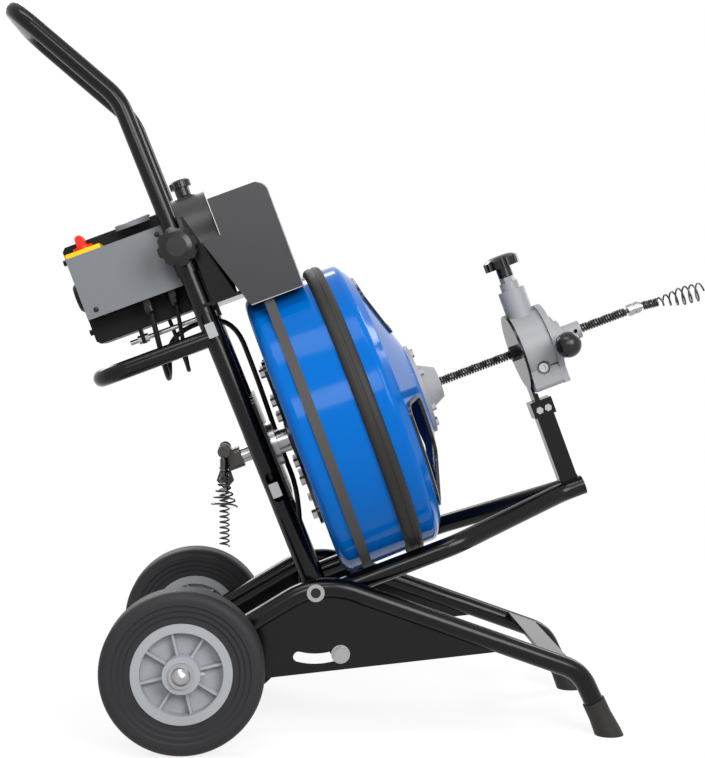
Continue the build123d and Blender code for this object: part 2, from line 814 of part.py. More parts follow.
sleeve_end = bush_inner - GAP
with BuildPart() as uprights:
    for side, name in SIDES:
        here = side * upright_y
        add(upright_core(side))
        with BuildSketch(mast_side(here)):
            with Locations((0, BRACKET_GRIP - UPRIGHT_FOOT)):
                Rectangle(
                    TILT_BRACKET_WIDTH, SLOT_RADIUS - UPRIGHT_FOOT + BRACKET_GRIP,
                    align=(Align.CENTER, Align.MAX),
                )
            with Locations((0, -SLOT_RADIUS)):
                Circle(TILT_BRACKET_WIDTH / 2)
                Circle(TILT_BOLT_DIAMETER / 2 + SEAT, mode=Mode.SUBTRACT)
        extrude(amount=TILT_BRACKET / 2, both=True)
        add(
            ring(mast_at(0, here, 0), MAST, 0, UPRIGHT_TOP, upright_bore),
            mode=Mode.SUBTRACT,
        )
        with BuildSketch(mast_side(here)):
            for window_s in WINDOW_S:
                with Locations((0, window_s)):
                    SlotOverall(WINDOW_LENGTH, WINDOW_WIDTH, rotation=90)
            with Locations((0, HANDLE_KNOB_S)):
                Circle(KNOB_SCREW_DIAMETER / 2 + RUNNING)
        extrude(amount=-side * UPRIGHT_DIAMETER, mode=Mode.SUBTRACT)
    add(ring(pivot, ACROSS, -sleeve_end, sleeve_end, PIVOT_SLEEVE_DIAMETER / 2))
    add(ring(pivot, ACROSS, -sleeve_end, sleeve_end, rod_radius + RUNNING), mode=Mode.SUBTRACT)
write(uprights, "uprights")

boss_end = COLLAR_DIAMETER / 2 + COLLAR_BOSS
with BuildPart() as collars:
    for side, name in SIDES:
        collar_foot = mast_at(0, side * upright_y, COLLAR_START)
        add(ring(collar_foot, MAST, 0, COLLAR_LENGTH, COLLAR_DIAMETER / 2))
        with BuildSketch(mast_side(side * upright_y)):
            with Locations((0, HANDLE_KNOB_S)):
                Circle(COLLAR_BOSS_DIAMETER / 2)
        extrude(amount=-side * boss_end)
        add(ring(collar_foot, MAST, 0, COLLAR_LENGTH, upright_radius + SEAT), mode=Mode.SUBTRACT)
        with BuildSketch(mast_side(side * upright_y)):
            with Locations((0, HANDLE_KNOB_S)):
                Circle(KNOB_SCREW_DIAMETER / 2 + RUNNING)
        extrude(amount=-side * boss_end, mode=Mode.SUBTRACT)
write(collars, "handle_collars")

for side, name in SIDES:
    with BuildPart() as handle_knob:
        seat = mast_at(0, side * (upright_y + boss_end + GAP), HANDLE_KNOB_S)
        add(
            star_knob(
                seat, ACROSS * side, HANDLE_KNOB_DIAMETER, HANDLE_KNOB_LOBES, HANDLE_KNOB_HEIGHT,
                COLLAR_BOSS_DIAMETER, KNOB_HUB, KNOB_SCREW_DIAMETER, boss_end - HANDLE_DIAMETER / 2,
            )
        )
    write(handle_knob, f"handle_knob_{name}")

with BuildPart() as arms:
    for side, name in SIDES:
        arm_run = [
            drum_at(-UPRIGHT_DIAMETER * 2, side * upright_y, ARM_W),
            drum_at(ARM_BEND_U, side * upright_y, ARM_W),
            drum_at(ARM_MEET_U, side * meet_y, ARM_W),
            drum_at(ARM_END_U, side * meet_y, ARM_W),
        ]
        add(tube(arm_run, [ARM_BEND_RADIUS, ARM_MEET_RADIUS], arm_radius, arm_radius - TUBE_WALL))
    with BuildSketch(mast_side(0)):
        with Locations((upright_radius, 0)):
            Rectangle(UPRIGHT_GAUGE, UPRIGHT_GAUGE, align=(Align.MAX, Align.CENTER))
    extrude(amount=UPRIGHT_GAUGE, both=True, mode=Mode.SUBTRACT)
    add(post_core.part, mode=Mode.SUBTRACT)
write(arms, "arms")

with BuildPart() as tilt_bolts:
    nut_end = upright_y - TILT_BRACKET / 2
    washer_y = BASE_GAUGE / 2 + SIDE_PLATE / 2 + GAP
    for side, name in SIDES:
        bolt_axis = mast_at(0, 0, -SLOT_RADIUS)
        add(
            turned(bolt_axis, ACROSS * side, [
                (nut_end - TILT_HEAD, 0),
                (nut_end - TILT_HEAD, TILT_HEAD_DIAMETER / 2),
                (nut_end, TILT_HEAD_DIAMETER / 2),
                (nut_end, TILT_BOLT_DIAMETER / 2),
                (washer_y, TILT_BOLT_DIAMETER / 2),
                (washer_y, TILT_WASHER_DIAMETER / 2),
                (washer_y + TILT_WASHER, TILT_WASHER_DIAMETER / 2),
                (washer_y + TILT_WASHER, 0),
            ])
        )
        head_seat = bolt_axis + ACROSS * (side * (washer_y + TILT_WASHER))
        add(hexagon_head(head_seat, ACROSS * side, TILT_HEAD, TILT_HEAD_DIAMETER))

with BuildPart() as latches:
    for side, name in SIDES:
        for window_s in WINDOW_S:
            latch_s = window_s - (WINDOW_LENGTH - WINDOW_WIDTH - LATCH_LENGTH) / 2
            with BuildSketch(mast_side(side * upright_y)):
                with Locations((0, latch_s)):
                    RectangleRounded(WINDOW_WIDTH - GAP, LATCH_LENGTH, LATCH_PROUD)
            extrude(amount=-side * (upright_radius + LATCH_PROUD))
    for side, name in SIDES:
        inside = mast_at(0, side * upright_y, 0)
        add(ring(inside, MAST, 0, UPRIGHT_TOP, upright_bore + SEAT), mode=Mode.SUBTRACT)

with BuildPart() as lower_handle:
    handle_run = [
        drum_at(-UPRIGHT_DIAMETER, -upright_y, LOWER_HANDLE_W),
        drum_at(LOWER_HANDLE_END_U, -upright_y, LOWER_HANDLE_W),
        drum_at(LOWER_HANDLE_END_U, upright_y, LOWER_HANDLE_W),
        drum_at(-UPRIGHT_DIAMETER, upright_y, LOWER_HANDLE_W),
    ]
    add(
        tube(
            handle_run, [LOWER_HANDLE_RADIUS] * 2,
            LOWER_HANDLE_DIAMETER / 2, LOWER_HANDLE_DIAMETER / 2 - TUBE_WALL,
        )
    )
    for side, name in SIDES:
        add(upright_core(side), mode=Mode.SUBTRACT)
        with BuildSketch(mast_side(side * upright_y)):
            Rectangle(UPRIGHT_GAUGE, 2 * UPRIGHT_TOP, align=(Align.MIN, Align.CENTER))
        extrude(amount=UPRIGHT_DIAMETER, both=True, mode=Mode.SUBTRACT)
write(lower_handle, "lower_handle")

# Spindle plate with the spindle and its housing
plate_front = upright_radius + SPINDLE_PLATE
plate_width = UPRIGHT_GAUGE + UPRIGHT_DIAMETER - 2 * SPINDLE_PLATE_EDGE
with BuildPart() as spindle_plate:
    plate_seat = mast_at(upright_radius, 0, SPINDLE_PLATE_S)
    with BuildSketch(Plane(origin=plate_seat, x_dir=(0, 1, 0), z_dir=MAST_FRONT)):
        RectangleRounded(plate_width, SPINDLE_PLATE_HEIGHT, SPINDLE_PLATE_CORNER)
    extrude(amount=SPINDLE_PLATE)
    add(
        ring(drum_at(0, 0, 0), FORWARD, SPINDLE_REAR_U, 0, SPINDLE_HOLE / 2),
        mode=Mode.SUBTRACT,
    )
write(spindle_plate, "spindle_plate")

with BuildPart() as spindle:
    housing_end = DRUM_HUB_REAR_U - GAP
    plate_u = (mast_at(plate_front, 0, SPINDLE_PLATE_S) - drum_at(0, 0, 0)).dot(FORWARD)
    flange_end = plate_u + HOUSING_FLANGE
    add(
        turned(drum_at(0, 0, 0), FORWARD, [
            (plate_u - SPINDLE_PLATE / 2, 0),
            (plate_u - SPINDLE_PLATE / 2, HOUSING_FLANGE_DIAMETER / 2),
            (flange_end, HOUSING_FLANGE_DIAMETER / 2),
            (flange_end, HOUSING_DIAMETER / 2),
            (housing_end, HOUSING_DIAMETER / 2),
            (housing_end, 0),
        ])
    )
    with BuildSketch(mast_side(0)):
        with Locations((plate_front, SPINDLE_PLATE_S)):
            Rectangle(SPINDLE_PLATE_HEIGHT, SPINDLE_PLATE_HEIGHT, align=(Align.MAX, Align.CENTER))
    extrude(amount=HOUSING_FLANGE_DIAMETER, both=True, mode=Mode.SUBTRACT)
    add(ring(drum_at(0, 0, 0), FORWARD, SPINDLE_REAR_U, SPINDLE_FRONT_U, SPINDLE_DIAMETER / 2))
write(spindle, "spindle")

# Sliding handle
handle_radius = HANDLE_DIAMETER / 2
rake = radians(TILT + MAST_LEAN + HANDLE_RAKE)
rake_way = Vector(-sin(rake), 0, cos(rake))
with BuildPart() as handle:
    near_bend = mast_at(0, -upright_y, HANDLE_BEND)
    far_bend = mast_at(0, upright_y, HANDLE_BEND)
    add(
        tube(
            [
                mast_at(0, -upright_y, HANDLE_FOOT),
                near_bend,
                near_bend + rake_way * HANDLE_UPPER,
                far_bend + rake_way * HANDLE_UPPER,
                far_bend,
                mast_at(0, upright_y, HANDLE_FOOT),
            ],
            [HANDLE_BEND_RADIUS, HANDLE_CORNER, HANDLE_CORNER, HANDLE_BEND_RADIUS],
            handle_radius,
            handle_radius - TUBE_WALL,
        )
    )
write(handle, "handle_tube")

# Drum: shells, bumper, windows with their trims, nose, spider, hub and bearings
drum_radius = DRUM_DIAMETER / 2
drum_axis = Axis(drum_at(0, 0, 0), FORWARD)
hub_radius = DRUM_HUB_DIAMETER / 2

with BuildPart() as drum_rear:
    with BuildSketch(drum_side(0)):
        with BuildLine():
            corner = (DRUM_REAR_RADIUS, drum_radius - DRUM_REAR_RADIUS)
            CenterArc(corner, DRUM_REAR_RADIUS, 90, 90)
            CenterArc(corner, DRUM_REAR_RADIUS - DRUM_WALL, 90, 90)
            Polyline(
                (DRUM_REAR_RADIUS, drum_radius),
                (DRUM_JOIN_U, drum_radius),
                (DRUM_JOIN_U, drum_radius - DRUM_WALL),
                (DRUM_REAR_RADIUS, drum_radius - DRUM_WALL),
            )
            Polyline(
                (0, drum_radius - DRUM_REAR_RADIUS),
                (0, hub_radius + SEAT),
                (DRUM_WALL, hub_radius + SEAT),
                (DRUM_WALL, drum_radius - DRUM_REAR_RADIUS),
            )
        make_face()
    revolve(axis=drum_axis)
write(drum_rear, "drum_rear_shell")

front_profile = [
    (DRUM_JOIN_U, drum_radius),
    (DRUM_RIM_U, drum_radius),
    (DRUM_CONE_U, DRUM_CONE_DIAMETER / 2),
    (DRUM_DISH_U, DRUM_DISH_DIAMETER / 2),
    (DRUM_FACE_U, DRUM_FACE_DIAMETER / 2),
    (DRUM_FACE_U, DRUM_MOUTH_DIAMETER / 2),
]
front_rounds = [DRUM_RIM_ROUND, DRUM_RIM_ROUND, DRUM_RIM_ROUND, DRUM_WALL * 1.5]


def front_skin(inset, thickness):
    """The drum's front as a turned skin: its outside set in by a depth, then a thickness inward."""
    with BuildPart() as skin:
        with BuildSketch(drum_side(0)):
            with BuildLine():
                FilletPolyline(*front_profile, radius=front_rounds)
                if inset:
                    offset(amount=inset, side=Side.RIGHT, closed=False, mode=Mode.REPLACE)
                offset(amount=thickness, side=Side.RIGHT)
            make_face()
        revolve(axis=drum_axis)
    return skin.part


def window_field(grow):
    """The prisms of the drum's windows, grown by a margin, through the front."""
    half = WINDOW_ANGLE / 2
    inner = WINDOW_INNER_DIAMETER / 2
    outer = WINDOW_OUTER_DIAMETER / 2
    with BuildPart() as prisms:
        with BuildSketch(drum_face(DRUM_JOIN_U)):
            for turn in range(WINDOWS):
                middle = 90 + 360 / WINDOWS * turn
                with BuildSketch(mode=Mode.PRIVATE) as window:
                    with BuildLine():
                        low = CenterArc((0, 0), inner, middle - half, WINDOW_ANGLE)
                        high = CenterArc((0, 0), outer, middle - half, WINDOW_ANGLE)
                        Line(low @ 0, high @ 0)
                        Line(low @ 1, high @ 1)
                    make_face()
                    fillet(window.vertices(), WINDOW_CORNER)
                    if grow:
                        offset(amount=grow)
                add(window.sketch)
        extrude(amount=DRUM_FACE_U - DRUM_JOIN_U + DRUM_DIAMETER)
    return prisms.part


with BuildPart() as drum_front:
    add(front_skin(0, DRUM_WALL))
    add(window_field(TRIM_WIDTH), mode=Mode.SUBTRACT)
write(drum_front, "drum_front_shell")

with BuildPart() as window_trims:
    add(front_skin(-TRIM_PROUD, DRUM_WALL + 2 * TRIM_PROUD))
    add(window_field(TRIM_WIDTH), mode=Mode.INTERSECT)
    add(window_field(0), mode=Mode.SUBTRACT)
write(window_trims, "window_trims")

with BuildPart() as bumper:
    bumper_half = BUMPER_WIDTH / 2
    groove_half = BUMPER_GROOVE / 2
    bumper_top = drum_radius + BUMPER_HEIGHT
    add(
        turned(drum_at(DRUM_JOIN_U, 0, 0), FORWARD, [
            (-bumper_half, drum_radius),
            (-bumper_half, bumper_top - 0.9 * BUMPER_EDGE),
            (-bumper_half + 0.22 * BUMPER_EDGE, bumper_top - 0.44 * BUMPER_EDGE),
            (-bumper_half + 0.62 * BUMPER_EDGE, bumper_top - 0.14 * BUMPER_EDGE),
            (-bumper_half + 1.15 * BUMPER_EDGE, bumper_top),
            (-groove_half, bumper_top),
            (-groove_half + BUMPER_GROOVE_DEPTH / 2, bumper_top - BUMPER_GROOVE_DEPTH),
            (groove_half - BUMPER_GROOVE_DEPTH / 2, bumper_top - BUMPER_GROOVE_DEPTH),
            (groove_half, bumper_top),
            (bumper_half - 1.15 * BUMPER_EDGE, bumper_top),
            (bumper_half - 0.62 * BUMPER_EDGE, bumper_top - 0.14 * BUMPER_EDGE),
            (bumper_half - 0.22 * BUMPER_EDGE, bumper_top - 0.44 * BUMPER_EDGE),
            (bumper_half, bumper_top - 0.9 * BUMPER_EDGE),
            (bumper_half, drum_radius),
        ])
    )
write(bumper, "drum_bumper")

cable_bore = CABLE_DIAMETER / 2 + CABLE_CLEARANCE
nose_start = DRUM_FACE_U
nose_flange_end = DRUM_FACE_U + NOSE_FLANGE
with BuildPart() as nose:
    add(
        turned(drum_at(0, 0, 0), FORWARD, [
            (nose_start, cable_bore),
            (nose_start, NOSE_FLANGE_DIAMETER / 2),
            (nose_flange_end, NOSE_FLANGE_DIAMETER / 2),
            (nose_flange_end, NOSE_BASE_DIAMETER / 2),
            (NOSE_TIP_U, NOSE_TIP_DIAMETER / 2),
            (NOSE_TIP_U, cable_bore),
        ])
    )
write(nose, "drum_nose")

with BuildPart() as spider:
    with BuildSketch(drum_face(-SPIDER)):
        Circle(SPIDER_RING_DIAMETER / 2)
        with PolarLocations(SPIDER_DIAMETER / 4, SPIDER_ARMS, 45):
            SlotOverall(SPIDER_DIAMETER / 2, SPIDER_ARM_WIDTH)
    extrude(amount=SPIDER)
    add(
        turned(drum_at(0, 0, 0), FORWARD, [
            (DRUM_HUB_REAR_U, 0),
            (DRUM_HUB_REAR_U, hub_radius),
            (DRUM_HUB_FRONT_U, hub_radius),
            (DRUM_HUB_FRONT_U, 0),
        ])
    )
    add(
        ring(
            drum_at(0, 0, 0), FORWARD, DRUM_HUB_REAR_U, DRUM_HUB_FRONT_U, SPINDLE_DIAMETER / 2 + RUNNING,
        ),
        mode=Mode.SUBTRACT,
    )
write(spider, "rear_spider")

with BuildPart() as drum_bolts:
    for turn in range(NOSE_BOLTS):
        angle = radians(30 + 360 / NOSE_BOLTS * turn)
        bolt_radius = NOSE_BOLT_CIRCLE / 2
        seat = drum_at(nose_flange_end, bolt_radius * cos(angle), bolt_radius * sin(angle))
        add(hexagon_head(seat, FORWARD, BOLT_HEAD, BOLT_HEAD_DIAMETER))
    for turn in range(SPIDER_ARMS):
        angle = radians(45 + 360 / SPIDER_ARMS * turn)
        for circle in SPIDER_BOLT_CIRCLES:
            seat = drum_at(-SPIDER, circle / 2 * cos(angle), circle / 2 * sin(angle))
            add(hexagon_head(seat, -FORWARD, BOLT_HEAD, BOLT_HEAD_DIAMETER))
write(drum_bolts, "drum_bolts")

# Cable: winding in the drum, core and outer coil outside it, coupling and end auger
winding_radius = drum_radius - DRUM_WALL - CABLE_DIAMETER / 2 - GAP
winding_stations = helix_stations(
    drum_at(WINDING_START_U, 0, 0), FORWARD, ACROSS,
    lambda turn: winding_radius, lambda turn: WINDING_PITCH * turn, WINDING_TURNS, 2,
)
with BuildPart() as winding:
    add(wire_coil(winding_stations, CABLE_DIAMETER, 8), clean=False)
write(winding, "cable_winding")
print_least_gap("cable winding", winding_stations, 2, CABLE_DIAMETER)

coil_radius = CABLE_DIAMETER / 2 - CABLE_WIRE / 2
front_turns = int(2 * (CABLE_FRONT_LENGTH - CABLE_WIRE) / CABLE_PITCH) / 2
coupling_u = CABLE_FRONT_START_U + CABLE_FRONT_LENGTH
with BuildPart() as cable_core:
    add(ring(drum_at(0, 0, 0), FORWARD, DRUM_FACE_U, coupling_u, coil_radius - CABLE_WIRE / 2 - SEAT))
write(cable_core, "cable_core")

for start_u, turns, name in (
    (CABLE_START_U, CABLE_REAR_TURNS, "cable_coil_rear"),
    (CABLE_FRONT_START_U, front_turns, "cable_coil_front"),
):
    cable_stations = helix_stations(
        drum_at(start_u, 0, 0), FORWARD, ACROSS,
        lambda turn: coil_radius, lambda turn: CABLE_PITCH * turn, turns, 2,
    )
    with BuildPart() as cable_coil:
        add(wire_coil(cable_stations, CABLE_WIRE, 6), clean=False)
    write(cable_coil, name)
    print_least_gap(name, cable_stations, 2, CABLE_WIRE)

coupling_end = coupling_u + COUPLING_LENGTH
droop = radians(TILT - AUGER_DROOP)
auger_way = Vector(cos(droop), 0, sin(droop))
auger_start = drum_at(coupling_end - COUPLING_GROOVE / 2, 0, 0)
tight_radius = AUGER_TIGHT_DIAMETER / 2 - AUGER_WIRE / 2
tight_length = AUGER_TIGHT_TURNS * AUGER_TIGHT_PITCH


def auger_radius(turn):
    """Radius of the end auger: tight, then opening out to the tip."""
    open_share = min(1.0, max(0.0, turn - AUGER_TIGHT_TURNS) / AUGER_FLARE_TURNS)
    return tight_radius + (AUGER_TIP_DIAMETER / 2 - AUGER_WIRE / 2 - tight_radius) * open_share


def auger_along(turn):
    """Advance of the end auger: close turns, then an even open pitch."""
    open_turns = max(0.0, turn - AUGER_TIGHT_TURNS)
    return min(turn, AUGER_TIGHT_TURNS) * AUGER_TIGHT_PITCH + open_turns * AUGER_OPEN_PITCH


auger_stations = helix_stations(
    auger_start + auger_way * AUGER_FERRULE, auger_way, ACROSS,
    auger_radius, auger_along, AUGER_TIGHT_TURNS + AUGER_OPEN_TURNS, 2,
)
with BuildPart() as auger:
    add(wire_coil(auger_stations, AUGER_WIRE, 6), clean=False)
write(auger, "end_auger")
print_least_gap("end auger", auger_stations, 2, AUGER_WIRE)

with BuildPart() as coupling:
    groove_start = coupling_u + COUPLING_LENGTH * 0.45
    groove_radius = COUPLING_DIAMETER / 2 - COUPLING_GROOVE / 2
    add(
        turned(drum_at(0, 0, 0), FORWARD, [
            (coupling_u, 0),
            (coupling_u, COUPLING_DIAMETER / 2),
            (groove_start, COUPLING_DIAMETER / 2),
            (groove_start, groove_radius),
            (groove_start + COUPLING_GROOVE, groove_radius),
            (groove_start + COUPLING_GROOVE, COUPLING_DIAMETER / 2),
            (coupling_end, COUPLING_DIAMETER / 2),
            (coupling_end, 0),
        ])
    )
    shank_radius = tight_radius - AUGER_WIRE / 2 - 3 * SEAT
    add(
        turned(auger_start, auger_way, [
            (0, 0),
            (0, AUGER_FERRULE_DIAMETER / 2),
            (AUGER_FERRULE - AUGER_WIRE, AUGER_FERRULE_DIAMETER / 2),
            (AUGER_FERRULE - AUGER_WIRE, shank_radius),
            (AUGER_FERRULE + tight_length, shank_radius),
            (AUGER_FERRULE + tight_length, 0),
        ])
    )
write(coupling, "cable_coupling")

# Motor with its bracket, saddle, control box, switch and glands
motor_low_w = MOTOR_AXIS_W - MOTOR_HEIGHT / 2
saddle_radius = SADDLE_DIAMETER / 2
motor_neck_radius = saddle_radius - SADDLE_WALL - GAP
with BuildPart() as motor:
    with BuildSketch(drum_face(MOTOR_REAR_U)):
        with Locations((0, MOTOR_AXIS_W)):
            RectangleRounded(MOTOR_WIDTH, MOTOR_HEIGHT, MOTOR_ROUND)
    extrude(amount=MOTOR_NECK_U - MOTOR_REAR_U)
    chamfer(motor.faces().sort_by(Axis(drum_at(0, 0, 0), FORWARD))[0].edges(), MOTOR_ROUND / 2)
    with BuildSketch(drum_face(MOTOR_NECK_U)):
        with Locations((0, MOTOR_AXIS_W)):
            Circle(motor_neck_radius)
        with Locations((0, motor_low_w)):
            Rectangle(SADDLE_DIAMETER, MOTOR_HEIGHT, align=(Align.CENTER, Align.MAX), mode=Mode.SUBTRACT)
    extrude(amount=MOTOR_FRONT_U - MOTOR_NECK_U)
    with BuildSketch(drum_side(BOX_BACK_Y)):
        with Locations((MOTOR_NECK_U, MOTOR_AXIS_W)):
            Rectangle(DRUM_DIAMETER, DRUM_DIAMETER, align=(Align.MAX, Align.CENTER))
    extrude(amount=MOTOR_WIDTH, mode=Mode.SUBTRACT)
    add(
        ring(
            drum_at(0, 0, MOTOR_AXIS_W), FORWARD, MOTOR_FRONT_U - MOTOR_SHAFT_GRIP, 0,
            MOTOR_SHAFT_DIAMETER / 2 + RUNNING,
        ),
        mode=Mode.SUBTRACT,
    )
    with BuildSketch(drum_face(STUD_LUG_U)):
        with Locations((STUD_Y, motor_low_w)):
            Rectangle(
                STUD_DIAMETER * 3, motor_low_w - STUD_W + STUD_DIAMETER, align=(Align.CENTER, Align.MAX)
            )
    extrude(amount=STUD_LUG)
    lug_middle = drum_at(STUD_LUG_U, STUD_Y, STUD_W)
    add(
        ring(lug_middle, FORWARD, -STUD_LUG, 2 * STUD_LUG, STUD_DIAMETER / 2 + SEAT),
        mode=Mode.SUBTRACT,
    )
    cap_radius = MOTOR_END_CAP_DIAMETER / 2
    add(
        turned(drum_at(MOTOR_REAR_U, 0, MOTOR_AXIS_W), -FORWARD, [
            (0, 0),
            (0, cap_radius),
            (MOTOR_END_CAP / 2, cap_radius),
            (MOTOR_END_CAP, cap_radius - MOTOR_END_CAP / 2),
            (MOTOR_END_CAP, 0),
        ])
    )
    for screw_y, rise in (
        (BOX_BACK_Y + MOTOR_SCREW_DIAMETER, -MOTOR_SCREW_W),
        (MOTOR_SCREW_Y, -MOTOR_SCREW_W),
        (BOX_BACK_Y + MOTOR_SCREW_DIAMETER, MOTOR_SCREW_W),
        (MOTOR_SCREW_Y, MOTOR_SCREW_W),
    ):
        seat = drum_at(MOTOR_REAR_U, screw_y, MOTOR_AXIS_W + rise)
        add(hexagon_head(seat, -FORWARD, MOTOR_SCREW, MOTOR_SCREW_DIAMETER))
write(motor, "motor_housing")

with BuildPart() as saddle:
    with BuildSketch(drum_face(SADDLE_REAR_U)):
        with Locations((0, MOTOR_AXIS_W)):
            Circle(saddle_radius)
            Circle(saddle_radius - SADDLE_WALL, mode=Mode.SUBTRACT)
        with Locations((0, SADDLE_EDGE_W)):
            Rectangle(
                2 * SADDLE_DIAMETER, SADDLE_DIAMETER, align=(Align.CENTER, Align.MAX), mode=Mode.SUBTRACT
            )
    extrude(amount=SADDLE_FRONT_U - SADDLE_REAR_U)
    with BuildSketch(drum_level(TENSION_KNOB_U, 0, MOTOR_AXIS_W)):
        Circle(KNOB_SCREW_DIAMETER / 2 + RUNNING)
    extrude(amount=SADDLE_DIAMETER, mode=Mode.SUBTRACT)
write(saddle, "motor_saddle")

with BuildPart() as tension_knob:
    add(
        star_knob(
            drum_at(TENSION_KNOB_U, 0, MOTOR_AXIS_W + saddle_radius + GAP), UPWARD,
            TENSION_KNOB_DIAMETER, TENSION_LOBES, TENSION_KNOB_HEIGHT,
            TENSION_NECK_DIAMETER, TENSION_NECK, KNOB_SCREW_DIAMETER, SADDLE_WALL,
        )
    )
write(tension_knob, "belt_tension_knob")

gusset_y = saddle_radius + SADDLE_WALL
with BuildPart() as motor_bracket:
    rear_u = (mast_at(COLLAR_DIAMETER / 2, 0, UPRIGHT_TOP) - drum_at(0, 0, 0)).dot(FORWARD)
    floor_w = motor_low_w - BRACKET_FLOOR
    with BuildSketch(drum_side(0)):
        with BuildLine():
            Polyline(
                (rear_u, floor_w),
                (MOTOR_FRONT_U, floor_w),
                (rear_u + BRACKET_WALL, BRACKET_TOP_W),
                (rear_u, BRACKET_TOP_W),
                close=True,
            )
        make_face()
    extrude(amount=gusset_y + BRACKET_WALL, both=True)
    with BuildSketch(drum_side(0)):
        with Locations((MOTOR_FRONT_U, motor_low_w)):
            Rectangle(DRUM_DIAMETER, MOTOR_HEIGHT, align=(Align.CENTER, Align.MIN))
    extrude(amount=gusset_y, both=True, mode=Mode.SUBTRACT)
    with BuildSketch(drum_side(0)):
        with Locations((GUARD_NOTCH_U, floor_w)):
            Rectangle(GUARD_NOTCH_U - rear_u + upright_radius, BRACKET_FLOOR, align=(Align.MAX, Align.MIN))
    extrude(amount=upright_y + upright_radius, both=True)
    with BuildSketch(drum_side(STUD_Y)):
        with Locations((rear_u, motor_low_w)):
            Rectangle(STUD_LUG, motor_low_w - STUD_W + STUD_DIAMETER, align=(Align.MIN, Align.MAX))
    extrude(amount=STUD_DIAMETER * 1.5, both=True)
    add(
        ring(drum_at(rear_u, STUD_Y, STUD_W), FORWARD, -STUD_LUG, 2 * STUD_LUG, STUD_DIAMETER / 2 + SEAT),
        mode=Mode.SUBTRACT,
    )
    for side, name in SIDES:
        add(upright_core(side), mode=Mode.SUBTRACT)
write(motor_bracket, "motor_bracket")

with BuildPart() as tension_stud:
    add(ring(drum_at(0, STUD_Y, STUD_W), FORWARD, STUD_REAR_U, rear_u + STUD_LUG, STUD_DIAMETER / 2))
    for seat_u, way in (
        (STUD_LUG_U, -FORWARD),
        (STUD_LUG_U + STUD_LUG, FORWARD),
        (rear_u, -FORWARD),
    ):
        add(hexagon_head(drum_at(seat_u, STUD_Y, STUD_W), way, STUD_LUG, STUD_DIAMETER * 1.8))

with BuildPart() as control_box:
    with BuildSketch(drum_side(BOX_BACK_Y)):
        with Locations((BOX_REAR_U, BOX_LOW_W)):
            Rectangle(BOX_FRONT_U - BOX_REAR_U, BOX_TOP_W - BOX_LOW_W, align=(Align.MIN, Align.MIN))
    extrude(amount=BOX_BACK_Y - BOX_FACE_Y)
    stem_room = ring(
        drum_at(SWITCH_U, SWITCH_Y, BOX_TOP_W), UPWARD, -SWITCH_DISC_DIAMETER, 0,
        SWITCH_STEM_DIAMETER / 2 + RUNNING,
    )
    add(stem_room, mode=Mode.SUBTRACT)
write(control_box, "control_box")

with BuildPart() as control_cover:
    with BuildSketch(drum_side(BOX_FACE_Y)):
        with Locations(((BOX_REAR_U + BOX_FRONT_U) / 2, (BOX_LOW_W + BOX_TOP_W) / 2)):
            RectangleRounded(BOX_FRONT_U - BOX_REAR_U, BOX_TOP_W - BOX_LOW_W, BOX_COVER_ROUND)
    extrude(amount=BOX_COVER)
write(control_cover, "control_cover")

with BuildPart() as switch_plate:
    with BuildSketch(drum_level(SWITCH_U, SWITCH_Y, BOX_TOP_W)):
        RectangleRounded(SWITCH_PLATE_SIZE - BOX_COVER_ROUND, SWITCH_PLATE_SIZE, BOX_COVER_ROUND)
        Circle(SWITCH_STEM_DIAMETER / 2 + RUNNING, mode=Mode.SUBTRACT)
    extrude(amount=SWITCH_PLATE)
write(switch_plate, "switch_plate")

with BuildPart() as switch_knob:
    disc_w = BOX_TOP_W + SWITCH_PLATE + GAP
    switch_seat = drum_at(SWITCH_U, SWITCH_Y, disc_w)
    add(ring(switch_seat, UPWARD, -SWITCH_PLATE - SWITCH_DISC, 0, SWITCH_STEM_DIAMETER / 2))
    add(ring(switch_seat, UPWARD, 0, SWITCH_DISC, SWITCH_DISC_DIAMETER / 2))
    with BuildSketch(drum_face(SWITCH_U - SWITCH_LEVER / 2)):
        with Locations((SWITCH_Y, disc_w + SWITCH_DISC)):
            Rectangle(
                SWITCH_DISC_DIAMETER, SWITCH_LEVER_HEIGHT - SWITCH_LEVER / 2, align=(Align.CENTER, Align.MIN)
            )
    extrude(amount=SWITCH_LEVER)
    with BuildSketch(drum_side(SWITCH_Y)):
        with Locations((SWITCH_U, disc_w + SWITCH_DISC + SWITCH_LEVER_HEIGHT - SWITCH_LEVER / 2)):
            Circle(SWITCH_LEVER / 2)
    extrude(amount=SWITCH_DISC_DIAMETER / 2, both=True)
write(switch_knob, "switch_knob")

gland_low = GLAND_NUT + GLAND_DOME
with BuildPart() as glands:
    for gland_u in GLAND_U:
        seat = drum_at(gland_u, GLAND_Y, BOX_LOW_W)
        add(hexagon_head(seat, -UPWARD, GLAND_NUT, GLAND_DIAMETER))
        add(
            turned(seat, -UPWARD, [
                (GLAND_NUT, 0),
                (GLAND_NUT, GLAND_DIAMETER * 0.43),
                (gland_low - GLAND_DOME / 3, GLAND_DIAMETER * 0.4),
                (gland_low, GLAND_DIAMETER * 0.28),
                (gland_low, 0),
            ])
        )
write(glands, "cable_glands")

